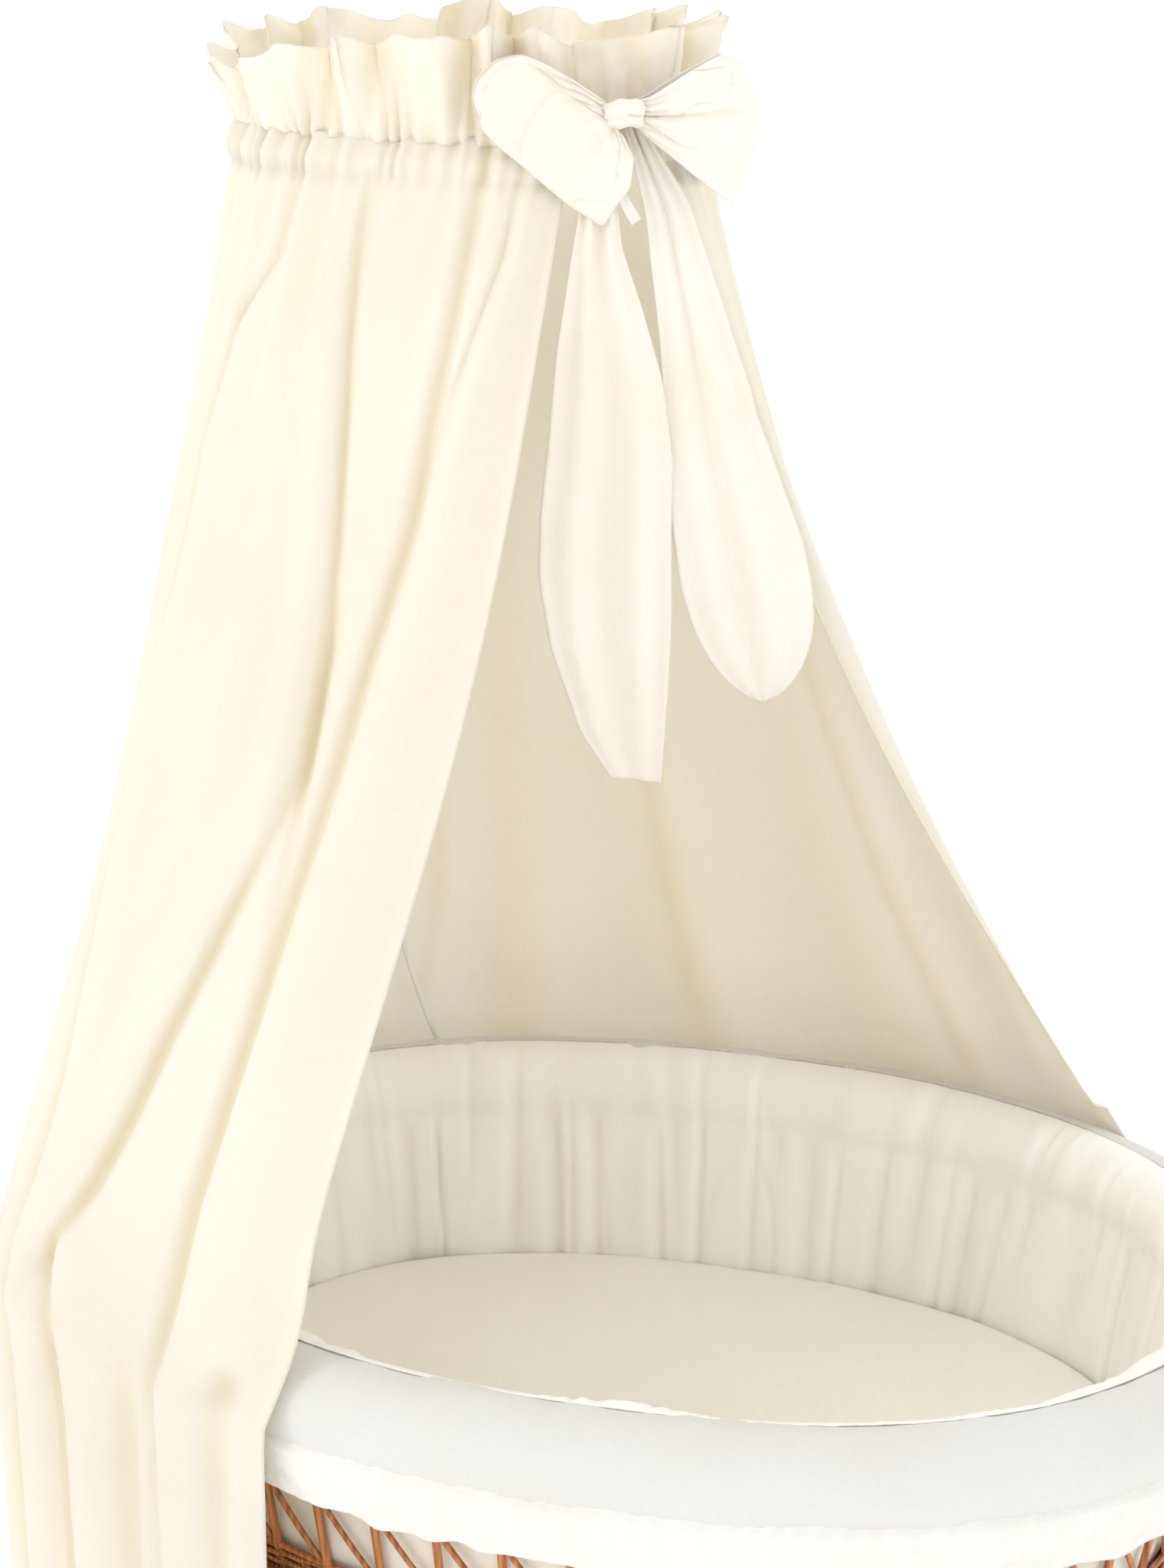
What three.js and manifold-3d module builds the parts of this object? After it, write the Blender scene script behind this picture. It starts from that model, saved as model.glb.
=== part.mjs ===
// Bassinet on a wheeled stand: an oval wicker basket with a padded rim, a draped
// canopy on a height-adjustable rod, and a wooden stand on four swivel casters.
// Millimetres, +Z up. X runs along the basket, head end at -X, foot end at +X;
// the canopy opens towards -Y. The origin is the centre of the outline, on the floor.
import * as THREE from 'three';
import { mergeVertices } from 'three/addons/utils/BufferGeometryUtils.js';
import Module from 'manifold-3d';

// ---------------------------------------------------------------- dimensions
const RIM_A = 420, RIM_B = 298, RIM_EXP = 2.2; // rim line: superellipse semi-axes and exponent
const SEG = 48;               // facets round each oval ring
const CREST_Z = 780;          // top of the padded rim
const PAD_R = 37;             // outer radius of the padded roll
const PAD_Z = CREST_Z - PAD_R; // height of the rim hoop and of the roll's centre
const PAD_BORE = 10.2;        // hollow of the roll round the hoop
const PAD_SLOT = 30;          // half angle of the slot under the roll, degrees
const HOOP_R = 9;             // rattan rim hoop
const WALL_LEAN = 0.18;       // the basket wall moves in by this per mm of depth
const WALL_T = 3;             // half thickness of the woven wall
const BASKET_Z = 540;         // underside of the basket
const FLOOR_T = 5;
const LOWER_TOP = 590, LATTICE_BOT = 590.3, LATTICE_TOP = 656.7, UPPER_BOT = 657, UPPER_TOP = 733;
const STICKS = 46, STICK_W = 6, STICK_T = 5, DIAG_W = 4.4, LATTICE_RAIL = 4.7;
const BOARD_Z = 545.3, BOARD_T = 6;
const MATTRESS_OFF = 57.8, MATTRESS_BOT = 551.6, MATTRESS_TOP = 608.2;
const SHEET_TOP = 611, SHEET_SKIRT = 572;
const VALANCE_TOP = 723, VALANCE_BOT = 682;

const RING_C = [-190, 120], RING_Z = 1560; // canopy ring
const RING_A = 160, RING_B = 100, RING_R = 3;
const NECK_A = 172, NECK_B = 112;          // gathered cloth round the ring
const NECK_Z = 1556;                       // top row of the canopy cloth
const HEADING_Z0 = 1561.5, HEADING_Z1 = 1643, HEADING_FLARE = 11;
const CLOTH_T = 1.5;                       // half thickness of the soft shells
const DRAPE_Z = 745;                       // height at which the cloth is widest
const HEM_Z = 300;
const DRAPE_T0 = 247, DRAPE_T1 = 46.7;     // rim angles of the two front edges, degrees
const RING_T0 = -50, RING_T1 = -390;       // ring angles of the same edges, degrees
const DRAPE_OUT = [[46.7, 46], [75, 62], [100, 76], [125, 82], [150, 96], [180, 110], [205, 92], [228, 58], [247, 46]];
const TENT_SAG = 0.07;

const POLE_T = 126.5, POLE_RHO = 48;       // canopy pole: rim angle and distance out from the rim line
const ROD_R = 2.5, TUBE_R = 5, TUBE_BORE = 3.2, TUBE_Z0 = 596, TUBE_Z1 = 728;
const COLLAR_R = 8, COLLAR_Z0 = 728.4, COLLAR_Z1 = 742;
const CLAMP_Z = 634, CLAMP_S = 23.5;       // clamp screws: height and half spacing along the wall
const SCREW_R = 3;

const LEG_T = { foot_back: 50, head_back: 130, head_front: 230, foot_front: 310 };
const LEG_TOP_Z = 580, LEG_BOT_Z = 66, LEG_RHO = 2.5, LEG_BOLT_Z = 556, LEG_SPLAY = 0.0612;
const LEG_R1 = 14, LEG_R0 = 11;
const CRADLE_Z0 = 540, CRADLE_Z1 = 572, CRADLE_IN = -26, CRADLE_OUT = -13;
const BEARER_X = 200, BEARER_W = 30, BEARER_H = 18, BEARER_L = 512, BEARER_TOP = 539.7;
const STRETCH_Z = 190, STRETCH_R = 9;
const WHEEL_R = 25, WHEEL_W = 10, TRAIL = 16;
const AXLE_R = 2.8, STEM_R = 4;

const GAP = 0.3;
const rad = (d) => (d * Math.PI) / 180;

// ---------------------------------------------------------------- helpers
const wasm = await Module();
wasm.setup();

const root = new THREE.Group();

// Leaves only positions, drops collapsed facets and turns the faces outwards.
function clean(geo) {
  const g0 = geo.clone();
  for (const name of Object.keys(g0.attributes)) if (name !== 'position') g0.deleteAttribute(name);
  const g = mergeVertices(g0, 1e-3);
  const p = g.attributes.position, idx = g.index.array, keep = [];
  let vol = 0;
  const a = new THREE.Vector3(), b = new THREE.Vector3(), c = new THREE.Vector3();
  for (let i = 0; i < idx.length; i += 3) {
    const [i0, i1, i2] = [idx[i], idx[i + 1], idx[i + 2]];
    if (i0 === i1 || i1 === i2 || i0 === i2) continue;
    keep.push(i0, i1, i2);
    a.fromBufferAttribute(p, i0); b.fromBufferAttribute(p, i1); c.fromBufferAttribute(p, i2);
    vol += a.dot(b.clone().cross(c));
  }
  if (vol < 0) for (let i = 0; i < keep.length; i += 3) [keep[i + 1], keep[i + 2]] = [keep[i + 2], keep[i + 1]];
  g.setIndex(keep);
  g.computeVertexNormals();
  return g;
}

function solid(geo) {
  const g = clean(geo);
  return new wasm.Manifold(new wasm.Mesh({
    numProp: 3,
    vertProperties: Float32Array.from(g.attributes.position.array),
    triVerts: Uint32Array.from(g.index.array),
  }));
}

function geometryOf(man) {
  const m = man.getMesh(), n = m.numProp, v = [];
  for (let i = 0; i < m.vertProperties.length; i += n) v.push(m.vertProperties[i], m.vertProperties[i + 1], m.vertProperties[i + 2]);
  const g = new THREE.BufferGeometry();
  g.setAttribute('position', new THREE.Float32BufferAttribute(v, 3));
  g.setIndex(Array.from(m.triVerts));
  g.computeVertexNormals();
  return g;
}

const join = (list) => list.map(solid).reduce((a, b) => a.add(b));
const cut = (man, list) => list.map(solid).reduce((a, b) => a.subtract(b), man);

const finishes = {
  honey_wood: [0xb87a3c, 0.45, 0],
  rattan: [0xb5692f, 0.5, 0],
  wicker: [0xb8783f, 0.7, 0],
  board: [0xc9a36c, 0.7, 0],
  cream_cotton: [0xf4ecd6, 0.9, 0],
  ivory_sheer: [0xfbf4de, 0.85, 0],
  white_cotton: [0xf6f4f0, 0.9, 0],
  white_metal: [0xf2f1ec, 0.35, 0.1],
  steel: [0xb9bcc0, 0.3, 0.9],
  grey_plastic: [0x8d9094, 0.5, 0],
  tyre: [0x3c3d40, 0.75, 0],
};

function add(name, geo, finish, pos, parent = root) {
  const [color, roughness, metalness] = finishes[finish];
  const mesh = new THREE.Mesh(geo, new THREE.MeshStandardMaterial({ color, roughness, metalness }));
  mesh.name = name;
  if (pos) mesh.position.set(...pos);
  parent.add(mesh);
  return mesh;
}

// Point of the rim line at angle t, with its outward normal.
function rim(t) {
  const c = Math.cos(t), s = Math.sin(t), q = 2 / RIM_EXP;
  const x = RIM_A * Math.sign(c) * Math.abs(c) ** q, y = RIM_B * Math.sign(s) * Math.abs(s) ** q;
  let nx = (Math.sign(c) * Math.abs(c) ** (2 - q)) / RIM_A, ny = (Math.sign(s) * Math.abs(s) ** (2 - q)) / RIM_B;
  const l = Math.hypot(nx, ny);
  return { x, y, nx: nx / l, ny: ny / l };
}
const atRim = (t, rho, z) => { const p = rim(t); return new THREE.Vector3(p.x + p.nx * rho, p.y + p.ny * rho, z); };
const wallRho = (z) => -(PAD_Z - z) * WALL_LEAN;

// Ring of constant section round an oval. Profile entries are [offset, z] or
// [offset, z, scale]; a scale of 0 puts the entry on the axis.
const rimMap = (t, [rho, z, k = 1]) => { const p = rim(t); return [(p.x + p.nx * rho) * k, (p.y + p.ny * rho) * k, z]; };
function ovalRing(profile, { closed = true, map = rimMap, seg = SEG } = {}) {
  const list = closed ? [...profile, profile[0]] : profile;
  const g = new THREE.LatheGeometry(list.map(([r, z, k = 1]) => new THREE.Vector2(k === 0 ? 0 : 300 + r, z)), seg);
  const pos = g.attributes.position, n = list.length;
  for (let i = 0; i <= seg; i++) for (let j = 0; j < n; j++) {
    const [x, y, z] = map(((i % seg) / seg) * 2 * Math.PI, list[j]);
    pos.setXYZ(i * n + j, x, y, z);
  }
  return clean(g);
}

// Closed sheet: a divided box whose three directions are remapped.
function sheet(nu, nv, fn, nw = 1) {
  const g = new THREE.BoxGeometry(1, 1, 1, nu, nv, nw), p = g.attributes.position;
  for (let i = 0; i < p.count; i++) {
    const v = fn(p.getX(i) + 0.5, p.getY(i) + 0.5, p.getZ(i) + 0.5);
    p.setXYZ(i, v.x, v.y, v.z);
  }
  return clean(g);
}

// Patch that follows the leaning wall, between two rim angles.
const wallPatch = (t0, t1, z0, z1, r0, r1, nt = 4) =>
  sheet(nt, 1, (u, v, w) => { const z = z0 + (z1 - z0) * v; return atRim(t0 + (t1 - t0) * u, wallRho(z) + r0 + (r1 - r0) * w, z); });

function tube(points, r, sides, steps) {
  const shape = new THREE.Shape();
  for (let i = 0; i < sides; i++) {
    const a = (i / sides) * 2 * Math.PI;
    if (i) shape.lineTo(r * Math.cos(a), r * Math.sin(a)); else shape.moveTo(r, 0);
  }
  const curve = new THREE.CatmullRomCurve3(points.map((p) => new THREE.Vector3(...p)));
  return clean(new THREE.ExtrudeGeometry(shape, { steps, bevelEnabled: false, extrudePath: curve }));
}

// Turned piece along +Z from profile [r, z]; starts and ends on the axis, or closes on itself.
const turned = (profile, seg, closed = false) => {
  const g = new THREE.LatheGeometry((closed ? [...profile, profile[0]] : profile).map(([r, z]) => new THREE.Vector2(r, z)), seg);
  g.rotateX(Math.PI / 2);
  return g;
};
const zCylinder = (r, z0, z1, seg) => turned([[0, z0], [r, z0], [r, z1], [0, z1]], seg);
// Moves a piece made along +Z so that it starts at p and runs along d.
const along = (geo, p, d) => geo.clone()
  .applyQuaternion(new THREE.Quaternion().setFromUnitVectors(new THREE.Vector3(0, 0, 1), d.clone().normalize()))
  .translate(p.x, p.y, p.z);
const outward = (t) => { const p = rim(t); return new THREE.Vector3(p.nx, p.ny, 0); };

// Arc length along the rim line, used to space the lattice sticks evenly.
const ARC_N = 3600, arc = [0];
for (let i = 1; i <= ARC_N; i++) {
  const a = rim(((i - 1) / ARC_N) * 2 * Math.PI), b = rim((i / ARC_N) * 2 * Math.PI);
  arc.push(arc[i - 1] + Math.hypot(b.x - a.x, b.y - a.y));
}
const ARC_L = arc[ARC_N], PITCH = ARC_L / STICKS;
const arcOf = (t) => arc[Math.round((t / (2 * Math.PI)) * ARC_N)];
function angleAt(s) {
  const m = ((s % ARC_L) + ARC_L) % ARC_L;
  let lo = 0, hi = ARC_N;
  while (hi - lo > 1) { const mid = (lo + hi) >> 1; if (arc[mid] <= m) lo = mid; else hi = mid; }
  return ((lo + (m - arc[lo]) / (arc[hi] - arc[lo])) / ARC_N) * 2 * Math.PI;
}

// ---------------------------------------------------------------- basket
add('lower_weave', ovalRing([
  [0, BASKET_Z, 0], [wallRho(BASKET_Z) + WALL_T, BASKET_Z], [wallRho(LOWER_TOP) + WALL_T, LOWER_TOP],
  [wallRho(LOWER_TOP) - WALL_T, LOWER_TOP], [wallRho(BASKET_Z + FLOOR_T) - WALL_T, BASKET_Z + FLOOR_T], [0, BASKET_Z + FLOOR_T, 0],
], { closed: false }), 'wicker');

add('base_board', ovalRing([
  [0, BOARD_Z, 0], [-40, BOARD_Z], [-40, BOARD_Z + BOARD_T], [0, BOARD_Z + BOARD_T, 0],
], { closed: false }), 'board');

const POLE_ANGLE = rad(POLE_T);
const STICK_S0 = arcOf(POLE_ANGLE) - 7.5; // a stick beside the pole, so that both clamp screws pass between sticks
{
  // Wall band, one flat facet for each pair of sticks, with two triangular openings between each stick and the next.
  const facetMap = (t, p) => rimMap(angleAt(STICK_S0 + (t / (2 * Math.PI)) * ARC_L), p);
  const band = solid(ovalRing([
    [wallRho(LATTICE_BOT) - STICK_T / 2, LATTICE_BOT], [wallRho(LATTICE_BOT) + STICK_T / 2, LATTICE_BOT],
    [wallRho(LATTICE_TOP) + STICK_T / 2, LATTICE_TOP], [wallRho(LATTICE_TOP) - STICK_T / 2, LATTICE_TOP]], { map: facetMap, seg: STICKS }));
  const z0 = LATTICE_BOT + LATTICE_RAIL, z1 = LATTICE_TOP - LATTICE_RAIL;
  const w = STICK_W / 2, d = DIAG_W * 0.75;
  const opening = (corners) => {
    const g = new THREE.ExtrudeGeometry(new THREE.Shape(corners.map(([s, z]) => new THREE.Vector2(s, z))), { depth: 24, bevelEnabled: false });
    const p = g.attributes.position;
    for (let i = 0; i < p.count; i++) {
      const v = atRim(angleAt(p.getX(i)), wallRho(p.getY(i)) + p.getZ(i) - 12, p.getY(i));
      p.setXYZ(i, v.x, v.y, v.z);
    }
    return solid(g);
  };
  const holes = [];
  for (let i = 0; i < STICKS; i++) {
    const s = STICK_S0 + i * PITCH;
    holes.push(opening([[s + w, z0], [s + PITCH - w - 2 * d, z0], [s + w, z1 - 3 * d]]));
    holes.push(opening([[s + w + 2 * d, z1], [s + PITCH - w, z0 + 3 * d], [s + PITCH - w, z1]]));
  }
  add('lattice_band', geometryOf(band.subtract(wasm.Manifold.union(holes))), 'rattan');
}

add('upper_weave', ovalRing([
  [wallRho(UPPER_BOT) - WALL_T, UPPER_BOT], [wallRho(UPPER_BOT) + WALL_T, UPPER_BOT],
  [wallRho(UPPER_TOP) + WALL_T, UPPER_TOP], [wallRho(UPPER_TOP) - WALL_T, UPPER_TOP]]), 'wicker');

const arcProfile = (r, a0, a1, n) => Array.from({ length: n + 1 }, (_, i) => {
  const a = rad(a0 + ((a1 - a0) * i) / n);
  return [r * Math.cos(a), PAD_Z + r * Math.sin(a)];
});
add('rim_hoop', ovalRing(arcProfile(HOOP_R, 0, 300, 5)), 'rattan');
add('rim_padding', ovalRing([
  ...arcProfile(PAD_R, -90 + PAD_SLOT, 270 - PAD_SLOT, 10), ...arcProfile(PAD_BORE, 270 - PAD_SLOT, -90 + PAD_SLOT, 6)]), 'cream_cotton');
add('valance', ovalRing([[32.5, VALANCE_TOP], [35.5, VALANCE_TOP], [32, VALANCE_BOT], [29, VALANCE_BOT]]), 'white_cotton');
add('bumper', ovalRing([
  [wallRho(551.8) - 9.5, 551.8], [wallRho(708) - 9.5, 708], [-33, 708.5], [-42, 685], [-49, 660], [-54, 635], [-55.5, 611], [-55.5, 551.8]]), 'cream_cotton');

add('mattress', ovalRing([
  [0, MATTRESS_BOT, 0], [-60, MATTRESS_BOT], [-MATTRESS_OFF, 556], [-MATTRESS_OFF, 603], [-62, MATTRESS_TOP], [0, MATTRESS_TOP, 0],
], { closed: false }), 'white_cotton');
add('fitted_sheet', ovalRing([
  [0, SHEET_TOP, 0], [-62, SHEET_TOP], [-56, 605.5], [-56, SHEET_SKIRT], [-57.4, SHEET_SKIRT], [-57.4, 603.5], [-62.2, 608.7], [0, 608.7, 0],
], { closed: false }), 'cream_cotton');

// ---------------------------------------------------------------- canopy pole and its clamp
const POLE_N = outward(POLE_ANGLE);
const POLE = atRim(POLE_ANGLE, POLE_RHO, 0);
const screwAngle = [angleAt(arcOf(POLE_ANGLE) - CLAMP_S), angleAt(arcOf(POLE_ANGLE) + CLAMP_S)];
const tA = angleAt(arcOf(POLE_ANGLE) - 40), tB = angleAt(arcOf(POLE_ANGLE) + 40);
const screwHole = (t) => along(zCylinder(SCREW_R + 0.5, -60, 40, 10), atRim(t, 0, CLAMP_Z), outward(t));
{
  const rho0 = wallRho(618) + WALL_T + 1.6;
  const arm = new THREE.BoxGeometry(POLE_RHO - rho0, 14, 22);
  arm.rotateZ(Math.atan2(POLE_N.y, POLE_N.x));
  const m = atRim(POLE_ANGLE, (POLE_RHO + rho0) / 2, 618);
  arm.translate(m.x, m.y, m.z);
  const boss = zCylinder(9, 602, 640, 16); boss.translate(POLE.x, POLE.y, 0);
  const bore = zCylinder(TUBE_R + 0.4, 590, 650, 12); bore.translate(POLE.x, POLE.y, 0);
  const man = cut(join([wallPatch(tA, tB, 600, 650, WALL_T + 0.6, WALL_T + 3.8, 6), arm, boss]), [bore, ...screwAngle.map(screwHole)]);
  add('pole_bracket', geometryOf(man), 'white_metal');
}
add('clamp_backing_plate', geometryOf(cut(
  solid(wallPatch(angleAt(arcOf(POLE_ANGLE) - 36), angleAt(arcOf(POLE_ANGLE) + 36), 620, 648, -WALL_T - 3.2, -WALL_T - 0.6, 6)),
  screwAngle.map(screwHole))), 'white_metal');
screwAngle.forEach((t, i) => {
  const w = wallRho(CLAMP_Z);
  const shaft = turned([[0, w - 8.2], [SCREW_R, w - 8.2], [SCREW_R, w + 8.0], [6, w + 8.0], [6, w + 9.6], [11, w + 9.8], [12, w + 12], [12, w + 16], [10, w + 18.5], [0, w + 18.5]], 14);
  add(`clamp_knob_${i + 1}`, clean(along(shaft, atRim(t, 0, CLAMP_Z), outward(t))), 'grey_plastic');
});
{
  const t = turned([[TUBE_BORE, TUBE_Z0], [TUBE_R, TUBE_Z0], [TUBE_R, TUBE_Z1], [TUBE_BORE, TUBE_Z1]], 12, true);
  add('pole_tube', clean(t), 'white_metal', [POLE.x, POLE.y, 0]);
  const dir = new THREE.Vector3(-POLE_N.y, POLE_N.x, 0); // along the rim, towards the head end
  const screwAt = new THREE.Vector3(0, 0, (COLLAR_Z0 + COLLAR_Z1) / 2);
  const collar = cut(solid(turned([[ROD_R + 0.4, COLLAR_Z0], [COLLAR_R, COLLAR_Z0], [COLLAR_R, COLLAR_Z1], [ROD_R + 0.4, COLLAR_Z1]], 16, true)),
    [along(zCylinder(2.4, 0, 20, 10), screwAt, dir)]);
  add('pole_collar', geometryOf(collar), 'white_metal', [POLE.x, POLE.y, 0]);
  add('collar_screw', clean(along(turned([[0, 3.2], [2, 3.2], [2, 9], [7, 9.4], [8, 11], [8, 16], [6.5, 18], [0, 18]], 12), screwAt, dir)),
    'grey_plastic', [POLE.x, POLE.y, 0]);
}

// ---------------------------------------------------------------- canopy
const ringMap = (a, b) => (t, [rho, z]) => {
  const c = Math.cos(t), s = Math.sin(t), l = Math.hypot(c / a, s / b);
  return [RING_C[0] + a * c + (rho * c) / a / l, RING_C[1] + b * s + (rho * s) / b / l, z];
};
const drapeOut = (deg) => {
  const L = DRAPE_OUT;
  for (let i = 1; i < L.length; i++) if (deg <= L[i][0]) {
    const k = (deg - L[i - 1][0]) / (L[i][0] - L[i - 1][0]), e = k * k * (3 - 2 * k) * 0.35 + k * 0.65;
    return L[i - 1][1] + (L[i][1] - L[i - 1][1]) * e;
  }
  return L[L.length - 1][1];
};
function canopyMid(u, z) {
  const deg = DRAPE_T0 + (DRAPE_T1 - DRAPE_T0) * u, k = atRim(rad(deg), drapeOut(deg), 0);
  if (z <= DRAPE_Z) return new THREE.Vector3(k.x, k.y, z);
  const ta = rad(RING_T0 + (RING_T1 - RING_T0) * u);
  const rx = RING_C[0] + NECK_A * Math.cos(ta), ry = RING_C[1] + NECK_B * Math.sin(ta);
  const f = (NECK_Z - z) / (NECK_Z - DRAPE_Z), g = f - TENT_SAG * Math.sin(Math.PI * f);
  return new THREE.Vector3(rx + (k.x - rx) * g, ry + (k.y - ry) * g, z);
}
function canopyNormal(u, z) {
  const d = 0.004, a = canopyMid(Math.max(0, u - d), z), b = canopyMid(Math.min(1, u + d), z);
  return new THREE.Vector3(-(b.y - a.y), b.x - a.x, 0).normalize(); // outwards, as u runs clockwise
}
const inCanopy = (u, z, inset) => canopyMid(u, z).addScaledVector(canopyNormal(u, z), -inset);
const CANOPY_Z = [NECK_Z, 1500, 1420, 1320, 1200, 1080, 960, 870, 805, 773, DRAPE_Z, 640, 470, HEM_Z];
add('canopy', sheet(32, CANOPY_Z.length - 1, (u, v, w) => {
  const z = CANOPY_Z[Math.round(v * (CANOPY_Z.length - 1))];
  return canopyMid(u, z).addScaledVector(canopyNormal(u, z), (w - 0.5) * 2 * CLOTH_T);
}), 'ivory_sheer');
add('canopy_heading', ovalRing([
  [-CLOTH_T, HEADING_Z0], [CLOTH_T, HEADING_Z0], [CLOTH_T + HEADING_FLARE, HEADING_Z1], [-CLOTH_T + HEADING_FLARE, HEADING_Z1],
], { map: ringMap(NECK_A, NECK_B), seg: 36 }), 'ivory_sheer');
add('canopy_ring', ovalRing(Array.from({ length: 6 }, (_, i) => [RING_R * Math.cos(rad(60 * i + 30)), RING_Z + RING_R * Math.sin(rad(60 * i + 30))]),
  { map: ringMap(RING_A, RING_B), seg: 32 }), 'white_metal');
{
  const rt = rad(140), end = [RING_C[0] + RING_A * Math.cos(rt), RING_C[1] + RING_B * Math.sin(rt)];
  const pts = [[POLE.x, POLE.y, 606], [POLE.x, POLE.y, 650], [POLE.x, POLE.y, 700], [POLE.x, POLE.y, 742], [POLE.x, POLE.y, 756]];
  for (const [z, u, inset] of [[790, 0.594, 27], [850, 0.58, 15], [920, 0.568, 11], [1000, 0.557, 11], [1100, 0.545, 11], [1200, 0.535, 11], [1300, 0.523, 11], [1400, 0.511, 11], [1490, 0.503, 11]]) {
    const p = inCanopy(u, z, inset);
    pts.push([p.x, p.y, z]);
  }
  pts.push([...end, RING_Z - RING_R - 0.6]);
  add('canopy_rod', tube(pts, ROD_R, 6, 44), 'white_metal');
}

// ---------------------------------------------------------------- bow, tied at the front of the ring
const BOW_O = new THREE.Vector3(-54, 28, 1589), BOW_E = new THREE.Vector3(0.892, 0.451, 0).normalize();
const BOW_N = new THREE.Vector3(BOW_E.y, -BOW_E.x, 0);
// Flat outline in the bow's plane, given as [sideways, up], between two depths.
function bowPiece(outline, d0, d1) {
  const shape = new THREE.Shape(outline.map(([x, y]) => new THREE.Vector2(x, y)));
  const g = new THREE.ExtrudeGeometry(shape, { depth: d1 - d0, bevelEnabled: false }), p = g.attributes.position;
  for (let i = 0; i < p.count; i++) {
    const v = BOW_O.clone().addScaledVector(BOW_E, p.getX(i)).addScaledVector(BOW_N, p.getZ(i) + d0);
    p.setXYZ(i, v.x, v.y, v.z + p.getY(i));
  }
  return clean(g);
}
add('bow_knot', bowPiece([[-7, -20], [17, -20], [20, -16], [20, -2], [17, 2], [-7, 2], [-10, -2], [-10, -16]], -5, 17), 'white_cotton');
add('bow_loop_left', bowPiece([[-97, 4], [-92, 18], [-78, 28], [-61, 31], [-36, 18], [-11, 0], [-11, -22], [6, -24], [12, -40], [8, -60], [-8, -84], [-30, -70], [-60, -44], [-88, -20]], -4, 12), 'white_cotton');
add('bow_loop_right', bowPiece([[21, 0], [48, 16], [75, 30], [90, 22], [100, 4], [102, -15], [97, -44], [85, -73], [60, -52], [40, -36], [21, -22]], -4, 12), 'white_cotton');
add('bow_tail_left', bowPiece([[-18, -60], [4, -60], [0, -87], [22, -140], [40, -194], [46, -250], [45, -304], [46, -360], [44, -417], [39, -492], [2, -485], [-21, -449], [-43, -384], [-51, -333], [-50, -290], [-45, -245], [-38, -170], [-28, -110]], -9, -6), 'white_cotton');
add('bow_tail_right', bowPiece([[10, -20], [24, -24], [40, -45], [56, -70], [84, -150], [108, -221], [144, -317], [153, -374], [146, -408], [119, -436], [90, -417], [55, -358], [46, -302], [40, -230], [36, -165], [26, -80]], -14, -11), 'white_cotton');

// ---------------------------------------------------------------- stand
const legs = Object.fromEntries(Object.entries(LEG_T).map(([k, deg]) => {
  const t = rad(deg), rho = (z) => LEG_RHO + (LEG_BOLT_Z - z) * LEG_SPLAY;
  const bot = atRim(t, rho(LEG_BOT_Z), LEG_BOT_Z), top = atRim(t, rho(LEG_TOP_Z), LEG_TOP_Z);
  const dir = top.clone().sub(bot), len = dir.length();
  return [k, { t, bot, top, dir: dir.normalize(), len, at: (z) => atRim(t, rho(z), z) }];
}));
const legProfile = (len, grow = 0) => [[0, -grow], [LEG_R0 - 1 + grow, -grow], [LEG_R0 + grow, 2 - grow], [LEG_R1 + grow, len - 6], [LEG_R1 - 4 + grow, len + grow], [0, len + grow]];
const legSolid = (l, grow) => along(turned(legProfile(l.len, grow), 12), l.bot, l.dir);
const boltHole = (l) => along(zCylinder(SCREW_R + 0.4, -60, 40, 10), atRim(l.t, 0, LEG_BOLT_Z), outward(l.t));
for (const [k, l] of Object.entries(legs)) {
  const bore = zCylinder(STEM_R + 1.2, 55, 100, 10); bore.translate(l.bot.x, l.bot.y, 0);
  add(`leg_${k}`, geometryOf(cut(solid(legSolid(l, 0)), [boltHole(l), bore])), 'honey_wood');
  const b0 = -24, b1 = LEG_RHO + LEG_R1 + 0.8;
  add(`leg_bolt_${k}`, clean(along(turned([[0, b0], [SCREW_R, b0], [SCREW_R, b1], [7, b1], [6.4, b1 + 2.6], [3.5, b1 + 4.6], [0, b1 + 5]], 12), atRim(l.t, 0, LEG_BOLT_Z), outward(l.t))), 'steel');
  add(`caster_socket_${k}`, clean(along(turned([[STEM_R + 1.4, -2.4], [13.5, -2.4], [13.5, 22], [LEG_R0 + 0.7, 22], [LEG_R0 + 0.7, -0.4], [STEM_R + 1.4, -0.4]], 16, true), l.bot, l.dir)), 'steel');
}
add('cradle_hoop', geometryOf(cut(solid(ovalRing([[CRADLE_IN, CRADLE_Z0], [CRADLE_OUT, CRADLE_Z0], [CRADLE_OUT, CRADLE_Z1], [CRADLE_IN, CRADLE_Z1]])),
  Object.values(legs).map(boltHole))), 'honey_wood');
for (const [k, x] of [['head', -BEARER_X], ['foot', BEARER_X]]) {
  const g = new THREE.BoxGeometry(BEARER_W, BEARER_L, BEARER_H);
  add(`bearer_${k}`, clean(g), 'honey_wood', [x, 0, BEARER_TOP - BEARER_H / 2]);
}
const endX = {};
const endBar = {};
for (const k of ['head', 'foot']) {
  const a = legs[`${k}_front`].at(STRETCH_Z), b = legs[`${k}_back`].at(STRETCH_Z);
  endX[k] = a.x;
  endBar[k] = (r) => along(zCylinder(r, 0, b.y - a.y, 14), a, new THREE.Vector3(0, 1, 0));
  add(`end_stretcher_${k}`, geometryOf(cut(solid(endBar[k](STRETCH_R)), [legSolid(legs[`${k}_front`], GAP), legSolid(legs[`${k}_back`], GAP)])), 'honey_wood');
}
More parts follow.
